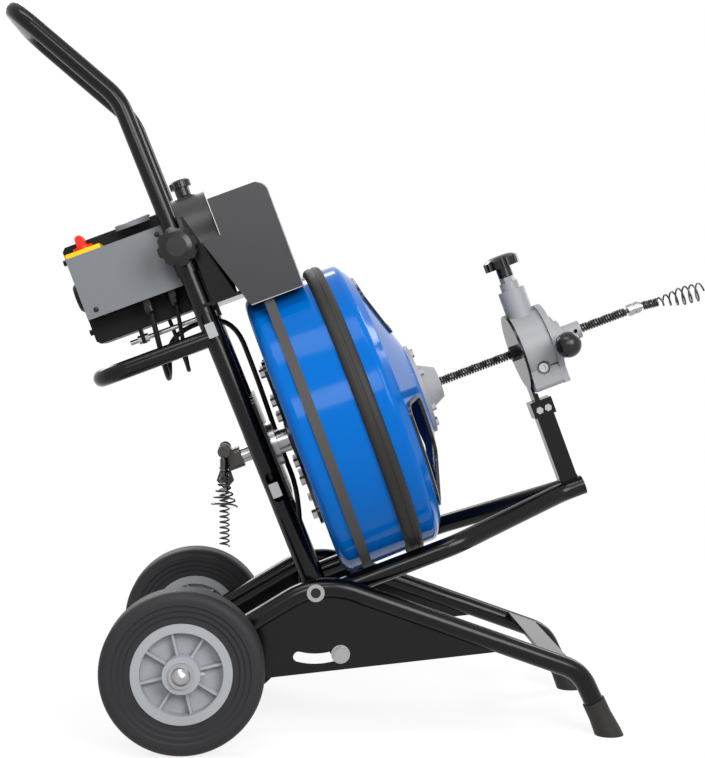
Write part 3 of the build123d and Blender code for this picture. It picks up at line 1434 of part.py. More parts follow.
# Belt drive: pulley with its shaft, belt and guard
with BuildPart() as pulley:
    pulley_start = PULLEY_U - PULLEY_WIDTH / 2
    pulley_end = PULLEY_U + PULLEY_WIDTH / 2
    pulley_radius = PULLEY_DIAMETER / 2
    rim_radius = pulley_radius + BELT + PULLEY_RIM
    rim = (PULLEY_WIDTH - BELT_WIDTH) / 2 - GAP
    add(
        turned(drum_at(0, 0, MOTOR_AXIS_W), FORWARD, [
            (MOTOR_FRONT_U - MOTOR_SHAFT_GRIP + GAP, 0),
            (MOTOR_FRONT_U - MOTOR_SHAFT_GRIP + GAP, MOTOR_SHAFT_DIAMETER / 2),
            (pulley_start, MOTOR_SHAFT_DIAMETER / 2),
            (pulley_start, rim_radius),
            (pulley_start + rim, rim_radius),
            (pulley_start + rim, pulley_radius),
            (pulley_end - rim, pulley_radius),
            (pulley_end - rim, rim_radius),
            (pulley_end, rim_radius),
            (pulley_end, 0),
        ])
    )
write(pulley, "motor_pulley")

with BuildPart() as belt:
    with BuildSketch(drum_face(PULLEY_U - BELT_WIDTH / 2)):
        for grow, mode in ((GAP + BELT, Mode.ADD), (GAP, Mode.SUBTRACT)):
            with BuildSketch(mode=Mode.PRIVATE) as loop:
                with BuildLine():
                    CenterArc((0, 0), drum_radius + grow, 0, 360)
                    CenterArc((0, MOTOR_AXIS_W), pulley_radius + grow, 0, 360)
                make_hull()
            add(loop.sketch, mode=mode)
    extrude(amount=BELT_WIDTH)
write(belt, "drive_belt")

guard_top_w = MOTOR_AXIS_W + rim_radius + GUARD_HEADROOM + GUARD_WALL
with BuildPart() as guard:
    notch_share = (SADDLE_EDGE_W - GAP - GUARD_LOW_W) / (guard_top_w - GUARD_LOW_W)
    notch_reach_u = GUARD_LOW_U + (rear_u - GUARD_LOW_U) * notch_share
    with BuildSketch(drum_side(0)):
        with BuildLine():
            FilletPolyline(
                (GUARD_LOW_U, GUARD_LOW_W),
                (GUARD_FRONT_U, GUARD_LOW_W),
                (GUARD_FRONT_U, guard_top_w),
                (GUARD_NOTCH_U, guard_top_w),
                radius=[GUARD_WALL / 2, GUARD_ROUND],
            )
            Polyline(
                (GUARD_NOTCH_U, guard_top_w),
                (GUARD_NOTCH_U, SADDLE_EDGE_W - GAP),
                (notch_reach_u, SADDLE_EDGE_W - GAP),
                (GUARD_LOW_U, GUARD_LOW_W),
            )
        make_face()
    extrude(amount=GUARD_WIDTH / 2, both=True)
    with BuildSketch(drum_side(0)):
        with BuildLine():
            Polyline(
                (GUARD_FRONT_U - GUARD_WALL - DRUM_DIAMETER, guard_top_w - GUARD_WALL),
                (GUARD_FRONT_U - GUARD_WALL - DRUM_DIAMETER, 0),
                (GUARD_FRONT_U - GUARD_WALL, 0),
                (GUARD_FRONT_U - GUARD_WALL, guard_top_w - GUARD_ROUND),
                (GUARD_FRONT_U - GUARD_ROUND, guard_top_w - GUARD_WALL),
                close=True,
            )
        make_face()
    extrude(amount=GUARD_WIDTH / 2 - GUARD_WALL, both=True, mode=Mode.SUBTRACT)
    with BuildSketch(drum_face(GUARD_NOTCH_U)):
        with Locations((0, motor_low_w - BRACKET_FLOOR)):
            Rectangle(
                GUARD_WIDTH, guard_top_w - motor_low_w + BRACKET_FLOOR, align=(Align.CENTER, Align.MIN)
            )
        with Locations((0, MOTOR_AXIS_W)):
            Circle(GUARD_SHAFT_HOLE / 2, mode=Mode.SUBTRACT)
    extrude(amount=GUARD_WALL)
    add(
        ring(drum_at(0, 0, 0), FORWARD, MOTOR_REAR_U, DRUM_DIAMETER, drum_radius + GUARD_DRUM_GAP),
        mode=Mode.SUBTRACT,
    )
write(guard, "belt_guard")

# Guide post with its clamp
with BuildPart() as post:
    add(post_core.part)
    with BuildSketch(drum_level(POST_U, 0, POST_FOOT_W)):
        Rectangle(POST_SIZE - 2 * POST_WALL, POST_SIZE - 2 * POST_WALL)
    extrude(amount=POST_TOP_W - POST_FOOT_W, mode=Mode.SUBTRACT)
    with BuildSketch(drum_level(POST_U, 0, POST_TOP_W)):
        Rectangle(POST_SIZE + 2 * CLAMP_WALL, POST_SIZE + 2 * CLAMP_WALL)
    extrude(amount=CLAMP_WALL)
    with BuildSketch(drum_level(POST_U, 0, POST_TOP_W)):
        Rectangle(POST_SIZE + 2 * CLAMP_WALL, POST_SIZE + 2 * CLAMP_WALL)
        Rectangle(POST_SIZE, POST_SIZE, mode=Mode.SUBTRACT)
    extrude(amount=-CLAMP_HEIGHT)
    with BuildSketch(drum_level(FEED_BACK_U + FEED_BACK_PLATE, 0, POST_TOP_W + CLAMP_WALL)):
        Rectangle(CLAMP_WALL, FEED_TONGUE, align=(Align.MIN, Align.CENTER))
    extrude(amount=CLAMP_HEIGHT / 2)
write(post, "guide_post")

with BuildPart() as clamp_bolts:
    bolt_w = POST_TOP_W - CLAMP_HEIGHT / 2
    for side, name in SIDES:
        for bolt_u in (POST_U - POST_SIZE / 4, POST_U + POST_SIZE / 4):
            seat = drum_at(bolt_u, side * (POST_SIZE / 2 + CLAMP_WALL), bolt_w)
            add(hexagon_head(seat, ACROSS * side, CLAMP_BOLT_DIAMETER / 2, CLAMP_BOLT_DIAMETER * 1.6))

# Feed head: back plate, inlet bush, body, cover, rollers on pins, adjusting knob and feed lever
body_start = FEED_BACK_U + FEED_BACK_PLATE
cover_start = FEED_BODY_FRONT_U
cover_end = cover_start + FEED_COVER
body_radius = FEED_BODY_DIAMETER / 2
with BuildPart() as back_plate:
    with BuildSketch(drum_face(FEED_BACK_U)):
        Circle(FEED_BACK_DIAMETER / 2)
        with Locations((0, POST_TOP_W + CLAMP_WALL)):
            Rectangle(FEED_TONGUE, -POST_TOP_W - CLAMP_WALL, align=(Align.CENTER, Align.MIN))
    extrude(amount=FEED_BACK_PLATE)
    add(hexagon_head(drum_at(FEED_BACK_U, 0, 0), -FORWARD, INLET, INLET_DIAMETER))
    with BuildSketch(drum_face(FEED_BACK_U - INLET)):
        Circle(cable_bore)
    extrude(amount=INLET + FEED_BACK_PLATE, mode=Mode.SUBTRACT)
write(back_plate, "feed_back_plate")

roller_circle = cable_bore + ROLLER_DIAMETER / 2
roller_middle = (body_start + cover_start) / 2
roller_places = []
for turn in range(ROLLERS):
    angle = radians(90 + 360 / ROLLERS * turn)
    roller_places.append((roller_circle * cos(angle), roller_circle * sin(angle)))

sleeve_top = FEED_BOSS_TOP_W + FEED_SLEEVE
nut_top = sleeve_top + FEED_NUT
with BuildPart() as feed_body:
    with BuildSketch(drum_face(body_start)):
        Circle(body_radius)
        with Locations((0, FEED_BODY_LOW_W)):
            Rectangle(FEED_BODY_WIDTH, -FEED_BODY_LOW_W, align=(Align.CENTER, Align.MIN))
    extrude(amount=cover_start - body_start)
    lengthwise = feed_body.edges().filter_by(Axis(drum_at(0, 0, 0), FORWARD))
    fillet(lengthwise.sort_by(Axis(drum_at(0, 0, 0), UPWARD))[:2], FEED_BODY_ROUND)
    with BuildSketch(drum_level(FEED_BOSS_U, 0, 0)):
        Circle(FEED_BOSS_DIAMETER / 2)
    extrude(amount=FEED_BOSS_TOP_W)
    with BuildSketch(drum_face(body_start + FEED_WALL)):
        Circle(FEED_CAVITY_DIAMETER / 2)
    extrude(amount=cover_start - body_start - FEED_WALL, mode=Mode.SUBTRACT)
    with BuildSketch(drum_face(body_start)):
        Circle(cable_bore)
        with Locations(*roller_places):
            Circle(ROLLER_PIN_DIAMETER / 2 + SEAT)
    extrude(amount=FEED_WALL, mode=Mode.SUBTRACT)
    add(
        ring(
            drum_at(FEED_BOSS_U, 0, 0), UPWARD, FEED_BOSS_TOP_W, sleeve_top, FEED_SLEEVE_DIAMETER / 2,
        )
    )
    add(hexagon_head(drum_at(FEED_BOSS_U, 0, sleeve_top), UPWARD, FEED_NUT, FEED_NUT_DIAMETER))
    with BuildSketch(drum_level(FEED_BOSS_U, 0, 0)):
        Circle(FEED_SCREW_ROD / 2 + RUNNING)
    extrude(amount=nut_top, mode=Mode.SUBTRACT)
    with BuildSketch(drum_side(-body_radius)):
        with Locations((FEED_PORT_U, FEED_PORT_W)):
            Circle(FEED_PORT_DIAMETER / 2)
    extrude(amount=-(body_radius - FEED_BODY_WIDTH / 2 + FEED_WALL), mode=Mode.SUBTRACT)
    with BuildSketch(drum_side(-body_radius)):
        with Locations((FEED_PORT_U, FEED_PORT_W)):
            Rectangle(cover_start - FEED_PORT_U, FEED_SPLIT, align=(Align.MIN, Align.CENTER))
    extrude(amount=-(body_radius - FEED_BODY_WIDTH / 2 + FEED_WALL), mode=Mode.SUBTRACT)
write(feed_body, "feed_body")

with BuildPart() as port_screw:
    port_seat = drum_at(FEED_PORT_U, FEED_WALL - FEED_BODY_WIDTH / 2, FEED_PORT_W)
    with BuildSketch(Plane(origin=port_seat, x_dir=FORWARD, z_dir=(0, -1, 0))):
        Circle(FEED_SCREW_DIAMETER / 2)
    extrude(amount=FEED_WALL)
    with BuildSketch(Plane(origin=port_seat, x_dir=FORWARD, z_dir=(0, -1, 0)).offset(FEED_WALL)):
        RegularPolygon(FEED_SCREW_DIAMETER / 3.4, 6)
    extrude(amount=-FEED_WALL / 2, mode=Mode.SUBTRACT)

with BuildPart() as frame_fasteners:
    for fastener in (tilt_bolts, latches, tension_stud, clamp_bolts, port_screw):
        add(fastener.part)
write(frame_fasteners, "frame_fasteners")

with BuildPart() as feed_cover:
    with BuildSketch(drum_face(cover_start)):
        Circle(FEED_COVER_DIAMETER / 2)
        with Locations((0, FEED_BODY_LOW_W)):
            Rectangle(FEED_BODY_WIDTH, -FEED_BODY_LOW_W, align=(Align.CENTER, Align.MIN))
    extrude(amount=FEED_COVER)
    with BuildSketch(drum_face(body_start + GAP)):
        with Locations(*roller_places):
            Circle(ROLLER_PIN_DIAMETER / 2)
    extrude(amount=cover_start - body_start)
    with BuildSketch(drum_face(cover_end)):
        Circle(FEED_SPIGOT_DIAMETER / 2 + RUNNING)
    extrude(amount=-FEED_COVER / 2, mode=Mode.SUBTRACT)
    with BuildSketch(drum_face(cover_start)):
        Circle(cable_bore)
    extrude(amount=FEED_COVER, mode=Mode.SUBTRACT)
write(feed_cover, "feed_cover")

for place, name in zip(roller_places, ("top", "right", "left")):
    with BuildPart() as roller:
        half = ROLLER_LENGTH / 2
        pin_bore = ROLLER_PIN_DIAMETER / 2 + RUNNING
        add(
            turned(drum_at(roller_middle, *place), FORWARD, [
                (-half, pin_bore),
                (-half, ROLLER_DIAMETER / 2 - PULLEY_RIM),
                (PULLEY_RIM - half, ROLLER_DIAMETER / 2),
                (half - PULLEY_RIM, ROLLER_DIAMETER / 2),
                (half, ROLLER_DIAMETER / 2 - PULLEY_RIM),
                (half, pin_bore),
            ])
        )
    write(roller, f"feed_roller_{name}")

with BuildPart() as feed_knob:
    add(
        star_knob(
            drum_at(FEED_BOSS_U, 0, nut_top + GAP), UPWARD,
            FEED_KNOB_DIAMETER, FEED_KNOB_LOBES, FEED_KNOB_HEIGHT,
            FEED_NUT_DIAMETER, FEED_KNOB_HUB, FEED_SCREW_ROD, nut_top - FEED_SCREW_LOW_W,
        )
    )
write(feed_knob, "feed_knob")

ring_start = cover_end + GAP
ring_end = ring_start + FEED_RING
collar_end = ring_end + FEED_COLLAR
nose_end = collar_end + FEED_NOSE
lever_root = drum_at(ring_start + FEED_RING / 2, -FEED_RING_DIAMETER / 2 + FEED_RING, 0)
ball_centre = drum_at(LEVER_BALL_U, LEVER_BALL_Y, LEVER_BALL_W)
with BuildPart() as feed_lever:
    add(
        turned(drum_at(0, 0, 0), FORWARD, [
            (cover_end - FEED_COVER / 2 + GAP, cable_bore),
            (cover_end - FEED_COVER / 2 + GAP, FEED_SPIGOT_DIAMETER / 2),
            (ring_start, FEED_SPIGOT_DIAMETER / 2),
            (ring_start, FEED_RING_DIAMETER / 2),
            (ring_end, FEED_RING_DIAMETER / 2),
            (ring_end, FEED_COLLAR_DIAMETER / 2),
            (collar_end, FEED_COLLAR_DIAMETER / 2),
            (collar_end, FEED_NOSE_DIAMETER / 2),
            (nose_end, FEED_NOSE_DIAMETER / 2),
            (nose_end, cable_bore),
        ])
    )
    add(
        ring(
            lever_root, (ball_centre - lever_root).normalized(), 0,
            (ball_centre - lever_root).length - LEVER_BALL_DIAMETER / 4, LEVER_ROD_DIAMETER / 2,
        )
    )
    with BuildSketch(drum_side(0)):
        with Locations((nose_end - FEED_NOSE_HOLE * 1.5, 0)):
            Circle(FEED_NOSE_HOLE / 2)
    extrude(amount=FEED_NOSE_DIAMETER, mode=Mode.SUBTRACT)
write(feed_lever, "feed_lever")

with BuildPart() as lever_ball:
    ball_plane = turning_plane(ball_centre, (ball_centre - lever_root).normalized())
    with BuildSketch(ball_plane):
        with BuildLine():
            CenterArc((0, 0), LEVER_BALL_DIAMETER / 2, 0, 180)
            Line((-LEVER_BALL_DIAMETER / 2, 0), (LEVER_BALL_DIAMETER / 2, 0))
        make_face()
    revolve(axis=Axis(ball_plane.origin, ball_plane.x_dir))
    add(
        ring(
            ball_centre, (lever_root - ball_centre).normalized(), LEVER_BALL_DIAMETER / 4,
            LEVER_BALL_DIAMETER, LEVER_ROD_DIAMETER / 2 + SEAT,
        ),
        mode=Mode.SUBTRACT,
    )
write(lever_ball, "lever_ball")

# Tool holder on the spindle's rear end, with three tools on its peg
peg_centre = base_at(PEG_X, 0, PEG_Z)
holder_end_u = SPINDLE_REAR_U + HOLDER_LENGTH
with BuildPart() as tool_holder:
    with BuildSketch(drum_face(SPINDLE_REAR_U)):
        RectangleRounded(HOLDER_SIZE, HOLDER_SIZE, BUMPER_EDGE)
        Circle(SPINDLE_DIAMETER / 2 + SEAT, mode=Mode.SUBTRACT)
    extrude(amount=HOLDER_LENGTH)
    holder_middle = (SPINDLE_REAR_U + holder_end_u) / 2
    peg_local = peg_centre - drum_at(0, 0, 0)
    with BuildSketch(drum_side(0)):
        with Locations((holder_middle, 0), (peg_local.dot(FORWARD), peg_local.dot(UPWARD))):
            Circle(PEG_DIAMETER)
        make_hull()
    extrude(amount=HOLDER_SIZE / 2, both=True)
    add(
        ring(drum_at(0, 0, 0), FORWARD, SPINDLE_REAR_U, holder_end_u, SPINDLE_DIAMETER / 2 + SEAT),
        mode=Mode.SUBTRACT,
    )
    add(ring(peg_centre, ACROSS, PEG_NEAR_Y, PEG_FAR_Y, PEG_DIAMETER / 2))

straight_radius = STRAIGHT_DIAMETER / 2 - STRAIGHT_WIRE / 2
funnel_top_radius = FUNNEL_TOP_DIAMETER / 2 - FUNNEL_WIRE / 2
funnel_end_radius = FUNNEL_END_DIAMETER / 2 - FUNNEL_WIRE / 2
eye_radius = TOOL_EYE_DIAMETER / 2
with BuildPart() as tool_shanks:
    for tool_y, shank, grip, grip_radius in (
        (STRAIGHT_Y, STRAIGHT_SHANK, STRAIGHT_PITCH * 3, straight_radius - STRAIGHT_WIRE / 2 - 3 * SEAT),
        (FUNNEL_Y, FUNNEL_SHANK, FUNNEL_PITCH * 1.5, funnel_top_radius - FUNNEL_WIRE / 2 - 4 * SEAT),
        (SPADE_Y, SPADE_SHANK, SPADE_SHANK / 2, SPADE * 1.5),
    ):
        eye = peg_centre + ACROSS * tool_y
        add(ring(eye, ACROSS, -TOOL_EYE / 2, TOOL_EYE / 2, eye_radius))
        add(
            turned(eye, -UP, [
                (eye_radius - SPADE, 0),
                (eye_radius - SPADE, TOOL_EYE / 2),
                (eye_radius + SPADE, TOOL_EYE),
                (shank, TOOL_EYE),
                (shank, grip_radius),
                (shank + grip, grip_radius),
                (shank + grip, 0),
            ])
        )
    spade_top = PEG_Z - SPADE_SHANK
    with BuildSketch(base_side(SPADE_Y)):
        with BuildLine():
            Polyline(
                (PEG_X - SPADE * 2, spade_top),
                (PEG_X - SPADE_WIDTH / 2, spade_top - SPADE_LENGTH * 0.6),
                (PEG_X, spade_top - SPADE_LENGTH),
                (PEG_X + SPADE_WIDTH / 2, spade_top - SPADE_LENGTH * 0.6),
                (PEG_X + SPADE * 2, spade_top),
                close=True,
            )
        make_face()
    extrude(amount=SPADE / 2, both=True)
    add(ring(peg_centre, ACROSS, PEG_NEAR_Y, PEG_FAR_Y, PEG_DIAMETER / 2 + SEAT), mode=Mode.SUBTRACT)

with BuildPart() as hanging_tools:
    add(tool_holder.part)
    add(tool_shanks.part)
write(hanging_tools, "tool_holder")

straight_stations = helix_stations(
    peg_centre + ACROSS * STRAIGHT_Y - UP * (STRAIGHT_SHANK + STRAIGHT_WIRE / 2), -UP, Vector(1, 0, 0),
    lambda turn: straight_radius, lambda turn: STRAIGHT_PITCH * turn, STRAIGHT_TURNS, 2,
)
with BuildPart() as straight_auger:
    add(wire_coil(straight_stations, STRAIGHT_WIRE, 6), clean=False)
write(straight_auger, "straight_auger")
print_least_gap("straight auger", straight_stations, 2, STRAIGHT_WIRE)


def funnel_radius(turn):
    """Radius of the funnel auger: even for a turn and a half, then growing to its mouth."""
    share = max(0.0, turn - 1.5) / (FUNNEL_TURNS - 1.5)
    return funnel_top_radius + (funnel_end_radius - funnel_top_radius) * share


funnel_stations = helix_stations(
    peg_centre + ACROSS * FUNNEL_Y - UP * (FUNNEL_SHANK + FUNNEL_WIRE / 2), -UP, Vector(1, 0, 0),
    funnel_radius, lambda turn: FUNNEL_PITCH * turn, FUNNEL_TURNS, 2,
)
with BuildPart() as funnel_auger:
    add(wire_coil(funnel_stations, FUNNEL_WIRE, 6), clean=False)
write(funnel_auger, "funnel_auger")
print_least_gap("funnel auger", funnel_stations, 2, FUNNEL_WIRE)


# Leads: motor lead and power lead on the frame, the power lead's put-away end and its plug on the base
def run_radii(points):
    """Radii of the tangent arcs at the corners of a route, from the shorter run at each."""
    radii = []
    for before, corner, after in zip(points, points[1:], points[2:]):
        way_in = corner - before
        way_out = after - corner
        half_turn = radians(way_in.get_angle(way_out) / 2)
        radii.append(0.45 * min(way_in.length, way_out.length) / tan(half_turn))
    return radii


def cord(name, points, diameter):
    """A cord along a route, with its bends and volume printed."""
    radii = run_radii(points)
    piece = tube(points, radii, diameter / 2)
    print(name, "tightest bend", round(min(radii) / diameter, 1), "diameters, volume", round(piece.volume))
    return piece


gland_end_w = BOX_LOW_W - gland_low - 2 * GAP
motor_lead_route = [
    drum_at(GLAND_U[1], GLAND_Y, gland_end_w),
    drum_at(-122, GLAND_Y, 166),
    drum_at(-124, 14, 166),
    drum_at(-126, 14, motor_low_w - GAP),
]
power_lead_route = [
    drum_at(GLAND_U[0], GLAND_Y, gland_end_w),
    drum_at(-158, GLAND_Y, 165),
    drum_at(-161, 45, 165),
    drum_at(-140, 60, 236),
    drum_at(-25, 62, 234),
    drum_at(-23, 66, 110),
    drum_at(-27, 60, -20),
    drum_at(-25, 65, -100),
    drum_at(-71, 62, -231),
]
with BuildPart() as frame_leads:
    add(cord("motor lead", motor_lead_route, MOTOR_LEAD_DIAMETER))
    add(cord("power lead on the frame", power_lead_route, LEAD_DIAMETER))
write(frame_leads, "frame_leads")

coil_turns = 2 * LEAD_COIL_TURNS + 0.5
floor_height = LEAD_DIAMETER / 2
coil_outer = LEAD_COIL_DIAMETER / 2
coil_inner = coil_outer - LEAD_COIL_PITCH * LEAD_COIL_TURNS


def lead_coil_radius(turn):
    """Radius of the put-away coil: inward, half a turn level, then outward."""
    if turn < LEAD_COIL_TURNS:
        return coil_outer - LEAD_COIL_PITCH * turn
    return coil_inner + LEAD_COIL_PITCH * max(0.0, turn - LEAD_COIL_TURNS - 0.5)


def lead_coil_rise(turn):
    """Height of the put-away coil: it climbs a layer in the half turn at its middle."""
    share = min(1.0, max(0.0, (turn - LEAD_COIL_TURNS) / 0.5))
    return LEAD_COIL_LAYER * share * share * (3 - 2 * share)


lead_stations = helix_stations(
    base_at(LEAD_COIL_X, LEAD_COIL_Y, floor_height), UP, ACROSS,
    lead_coil_radius, lead_coil_rise, coil_turns, 4,
)
lead_in_end, lead_in_way = lead_stations[0]
lead_out_start, lead_out_way = lead_stations[-1]
lead_out_end = lead_out_start + lead_out_way * LEAD_TAIL
leave_way = (power_lead_route[-1] - power_lead_route[-2]).normalized()
lead_route = [
    power_lead_route[-1] + leave_way * GAP,
    power_lead_route[-1] + leave_way * 70,
    base_at(170, 80, 80),
    lead_in_end - lead_in_way * 122,
    lead_in_end,
]
with BuildPart() as put_away_lead:
    with BuildLine() as lead_line:
        FilletPolyline(*lead_route, radius=run_radii(lead_route))
        coil_path(lead_stations)
        Line(lead_out_start, lead_out_end)
    with BuildSketch(Plane(origin=lead_route[0], z_dir=lead_route[1] - lead_route[0])):
        RegularPolygon(LEAD_DIAMETER / 2, 8)
    sweep(path=lead_line.wires()[0], clean=False)
write(put_away_lead, "power_lead")
print_least_gap("put-away lead", lead_stations, 4, LEAD_DIAMETER)
print("power lead on the base: length", round(lead_line.wires()[0].length))

with BuildPart() as plug:
    plug_radius = lead_out_end.Z
    add(
        turned(lead_out_end, lead_out_way, [
            (0, 0),
            (0, PLUG_NECK_DIAMETER / 2),
            (PLUG_NECK, PLUG_NECK_DIAMETER / 2 + 1),
            (PLUG_NECK + 4, plug_radius),
            (PLUG_LENGTH, plug_radius),
            (PLUG_LENGTH, 0),
        ])
    )
    pin_side = lead_out_way.cross(UP).normalized()
    for side, name in SIDES:
        add(
            ring(
                lead_out_end + pin_side * (side * PIN_SPACING / 2), lead_out_way,
                PLUG_LENGTH - 1, PLUG_LENGTH + PIN_LENGTH, PIN_DIAMETER / 2,
            )
        )
write(plug, "plug")
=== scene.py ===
import json
from math import atan2, cos, degrees, pi, radians, sin, tau

import bmesh
import bpy
from mathutils import Matrix, Vector


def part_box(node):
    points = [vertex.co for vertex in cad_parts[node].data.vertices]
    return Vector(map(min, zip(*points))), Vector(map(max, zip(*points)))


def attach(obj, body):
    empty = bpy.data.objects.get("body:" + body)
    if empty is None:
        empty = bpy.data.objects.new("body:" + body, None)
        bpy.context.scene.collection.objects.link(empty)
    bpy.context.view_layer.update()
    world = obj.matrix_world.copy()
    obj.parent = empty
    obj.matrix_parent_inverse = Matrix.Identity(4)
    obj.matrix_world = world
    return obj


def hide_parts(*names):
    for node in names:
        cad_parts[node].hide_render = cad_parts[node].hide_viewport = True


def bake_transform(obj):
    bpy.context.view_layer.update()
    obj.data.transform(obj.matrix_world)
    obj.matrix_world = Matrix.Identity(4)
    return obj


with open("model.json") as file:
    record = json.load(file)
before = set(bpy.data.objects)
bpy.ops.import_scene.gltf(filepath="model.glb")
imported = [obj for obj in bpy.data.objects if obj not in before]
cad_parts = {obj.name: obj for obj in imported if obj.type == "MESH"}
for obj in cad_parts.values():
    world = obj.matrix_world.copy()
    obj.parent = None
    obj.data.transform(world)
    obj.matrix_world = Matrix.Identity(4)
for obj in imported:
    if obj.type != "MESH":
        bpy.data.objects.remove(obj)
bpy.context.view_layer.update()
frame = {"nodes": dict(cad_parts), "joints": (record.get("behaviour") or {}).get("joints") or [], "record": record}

MM = 0.001

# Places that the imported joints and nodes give, in millimetres
JOINTS = {joint["name"]: joint for joint in frame["joints"]}
AXLE_X = JOINTS["wheel_right_spin"]["pos_m"][0] / MM
DRUM_X = JOINTS["drum_spin"]["pos_m"][0] / MM
DRUM_Z = JOINTS["drum_spin"]["pos_m"][2] / MM
PIVOT_X = JOINTS["frame_tilt"]["pos_m"][0] / MM
PIVOT_Z = JOINTS["frame_tilt"]["pos_m"][2] / MM
PIVOT_END_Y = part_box("pivot_rod")[1].y / MM
GUARD_FACE_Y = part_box("belt_guard")[0].y / MM
COVER_FACE_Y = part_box("control_cover")[0].y / MM

# The tilt of the drum's axis; the record rounds the axis, so the angle is good to a thousandth of a degree
DRUM_AXIS = JOINTS["drum_spin"]["axis"]
TILT = radians(round(degrees(atan2(DRUM_AXIS[2], DRUM_AXIS[0])), 3))

# Camera: place and reach in metres, turns in degrees, lens and sensor in millimetres
CAMERA_PLACE = (-0.1628, -2.4316, 0.6507)
CAMERA_YAW = 3.4
CAMERA_PITCH = 1.93
CAMERA_LENS = 68.6
CAMERA_SENSOR = 36.0
CAMERA_REACH = 60.0

# Leads, in metres
LEAD_DIAMETER = 0.009
LEAD_LEAVE = 0.07
LEAD_COIL_ENTRY = 0.122
LEAD_TAIL = 0.058
MOTOR_LEAD_DIAMETER = 0.007

# How finely cords are drawn, and the degrees from point to point of a round stretch
CORD_SPLINE_ORDER = 3
CORD_LENGTH_STEPS = 8
CORD_SECTION_STEPS = 4
ARC_STEP = 10

# The put-away coil, in millimetres and turns: inwards below, outwards above
COIL_X = -30.0
COIL_Y = 20.0
COIL_RADIUS = 67.0
COIL_PITCH = 11.0
COIL_RISE = 9.8
COIL_TURNS = 5.5
COIL_TURNS_INWARD = 2.5
COIL_OUTWARD_FROM = 3.0
COIL_POINTS = 16

# The coil's tie, in millimetres, and its direction seen from the coil's middle
TIE_HALF = 21.0
TIE_HEIGHT = 19.2
TIE_CORNER = 6.0
TIE_CORNER_STEPS = 4
TIE_WIDTH = 14.0
TIE_THICKNESS = 1.6
TIE_DISTANCE = 53.0
TIE_DIRECTION = radians(210)

# The plate bent over the motor's upper edge, in millimetres and degrees
MOTOR_SIDE_Y = -84.0
MOTOR_TOP_W = 425.0
MOTOR_ROUND = 12.0
PLATE_GAP = 0.1
PLATE_REAR_U = -150.0
PLATE_FRONT_U = -92.0
PLATE_BEND_Y = MOTOR_SIDE_Y + MOTOR_ROUND
PLATE_BEND_W = MOTOR_TOP_W - MOTOR_ROUND
PLATE_BEND_RADIUS = MOTOR_ROUND + PLATE_GAP
PLATE_BEND_START = 10
PLATE_BEND_END = 90
PLATE_END_Y = -45.0
PLATE_THICKNESS = 0.5

# The outline of the belt guard's near face and the painted highlight along its edge, in millimetres and degrees
GUARD_LOW_U = 13.0
GUARD_FRONT_U = 101.0
GUARD_LOW_W = 228.0
GUARD_TOP_W = 409.0
GUARD_ROUND = 20.0
GUARD_ROUND_END = 70
GUARD_CORNER = 0.4
GUARD_HIGHLIGHT_WIDTH = 1.5
GUARD_HIGHLIGHT_THICKNESS = 0.3

# Screws of the control box's cover, in millimetres; the profile gives shares of the radius and heights
COVER_SCREWS = ((-223.0, 309.0), (-90.0, 388.0))
COVER_SCREW_RADIUS = 4.25
COVER_SCREW_SIDES = 32
COVER_SCREW_PROFILE = ((1.0, -0.5), (1.0, 0.6), (0.8, 1.6), (0.45, 1.9), (0.4, 0.9))

# Painted shade: black discs in the recessed ends of the pivot rod, in millimetres
PIVOT_RECESS = 2.0
PIVOT_SHADE_DISC_RADIUS = 7.9
PIVOT_SHADE_DISC_THICKNESS = 1.0
PIVOT_SHADE_DISC_SIDES = 48

# Finishes: each shade from 0 to 255, and each grain as its scale, its strength and its depth in metres
FINISHES = {
    "black_paint": dict(shade=(5, 5, 6), roughness=0.2, specular=0.26, grain=(170, 0.1, 0.0002)),
    "foot_rubber": dict(shade=(44, 43, 41), roughness=0.55, specular=0.25, grain=(420, 0.15, 0.0006)),
    "lead_rubber": dict(shade=(20, 20, 21), roughness=0.45, specular=0.2, grain=(600, 0.1, 0.0003)),
    "tyre_rubber": dict(shade=(48, 48, 50), roughness=0.55, specular=0.2, grain=(500, 0.2, 0.0006)),
    "belt_rubber": dict(shade=(80, 79, 78), roughness=0.7, specular=0.2, grain=(600, 0.2, 0.0005)),
    "hub_grey": dict(shade=(172, 175, 179), roughness=0.42, grain=(480, 0.08, 0.0003)),
    "bright_steel": dict(shade=(166, 166, 168), roughness=0.28, metallic=1.0, grain=(420, 0.06, 0.0002)),
    "cable_steel": dict(shade=(76, 75, 74), roughness=0.3, metallic=1.0, grain=(520, 0.06, 0.0002)),
    "motor_black": dict(shade=(24, 24, 25), roughness=0.4, specular=0.12, grain=(380, 0.1, 0.0005)),
    "guard_grey": dict(shade=(53, 53, 55), roughness=0.34, specular=0.3, grain=(460, 0.12, 0.0004)),
    "box_black": dict(shade=(15, 15, 16), roughness=0.4, specular=0.1, grain=(420, 0.1, 0.0004)),
    "cover_grey": dict(shade=(122, 125, 130), roughness=0.4, grain=(460, 0.08, 0.0004)),
    "switch_yellow": dict(shade=(255, 208, 0), roughness=0.4, grain=(500, 0.06, 0.0003)),
    "switch_red": dict(shade=(238, 40, 22), roughness=0.36, grain=(500, 0.06, 0.0003)),
    "black_plastic": dict(shade=(20, 20, 21), roughness=0.26, specular=0.36, grain=(420, 0.08, 0.0002)),
    "drum_blue": dict(shade=(0, 105, 196), roughness=0.12, specular=0.1, grain=(26, 0.12, 0.001)),
    "cast_aluminium": dict(shade=(157, 158, 162), roughness=0.42, specular=0.4, grain=(520, 0.2, 0.0005)),
}
GRAIN_DETAIL = 3.0

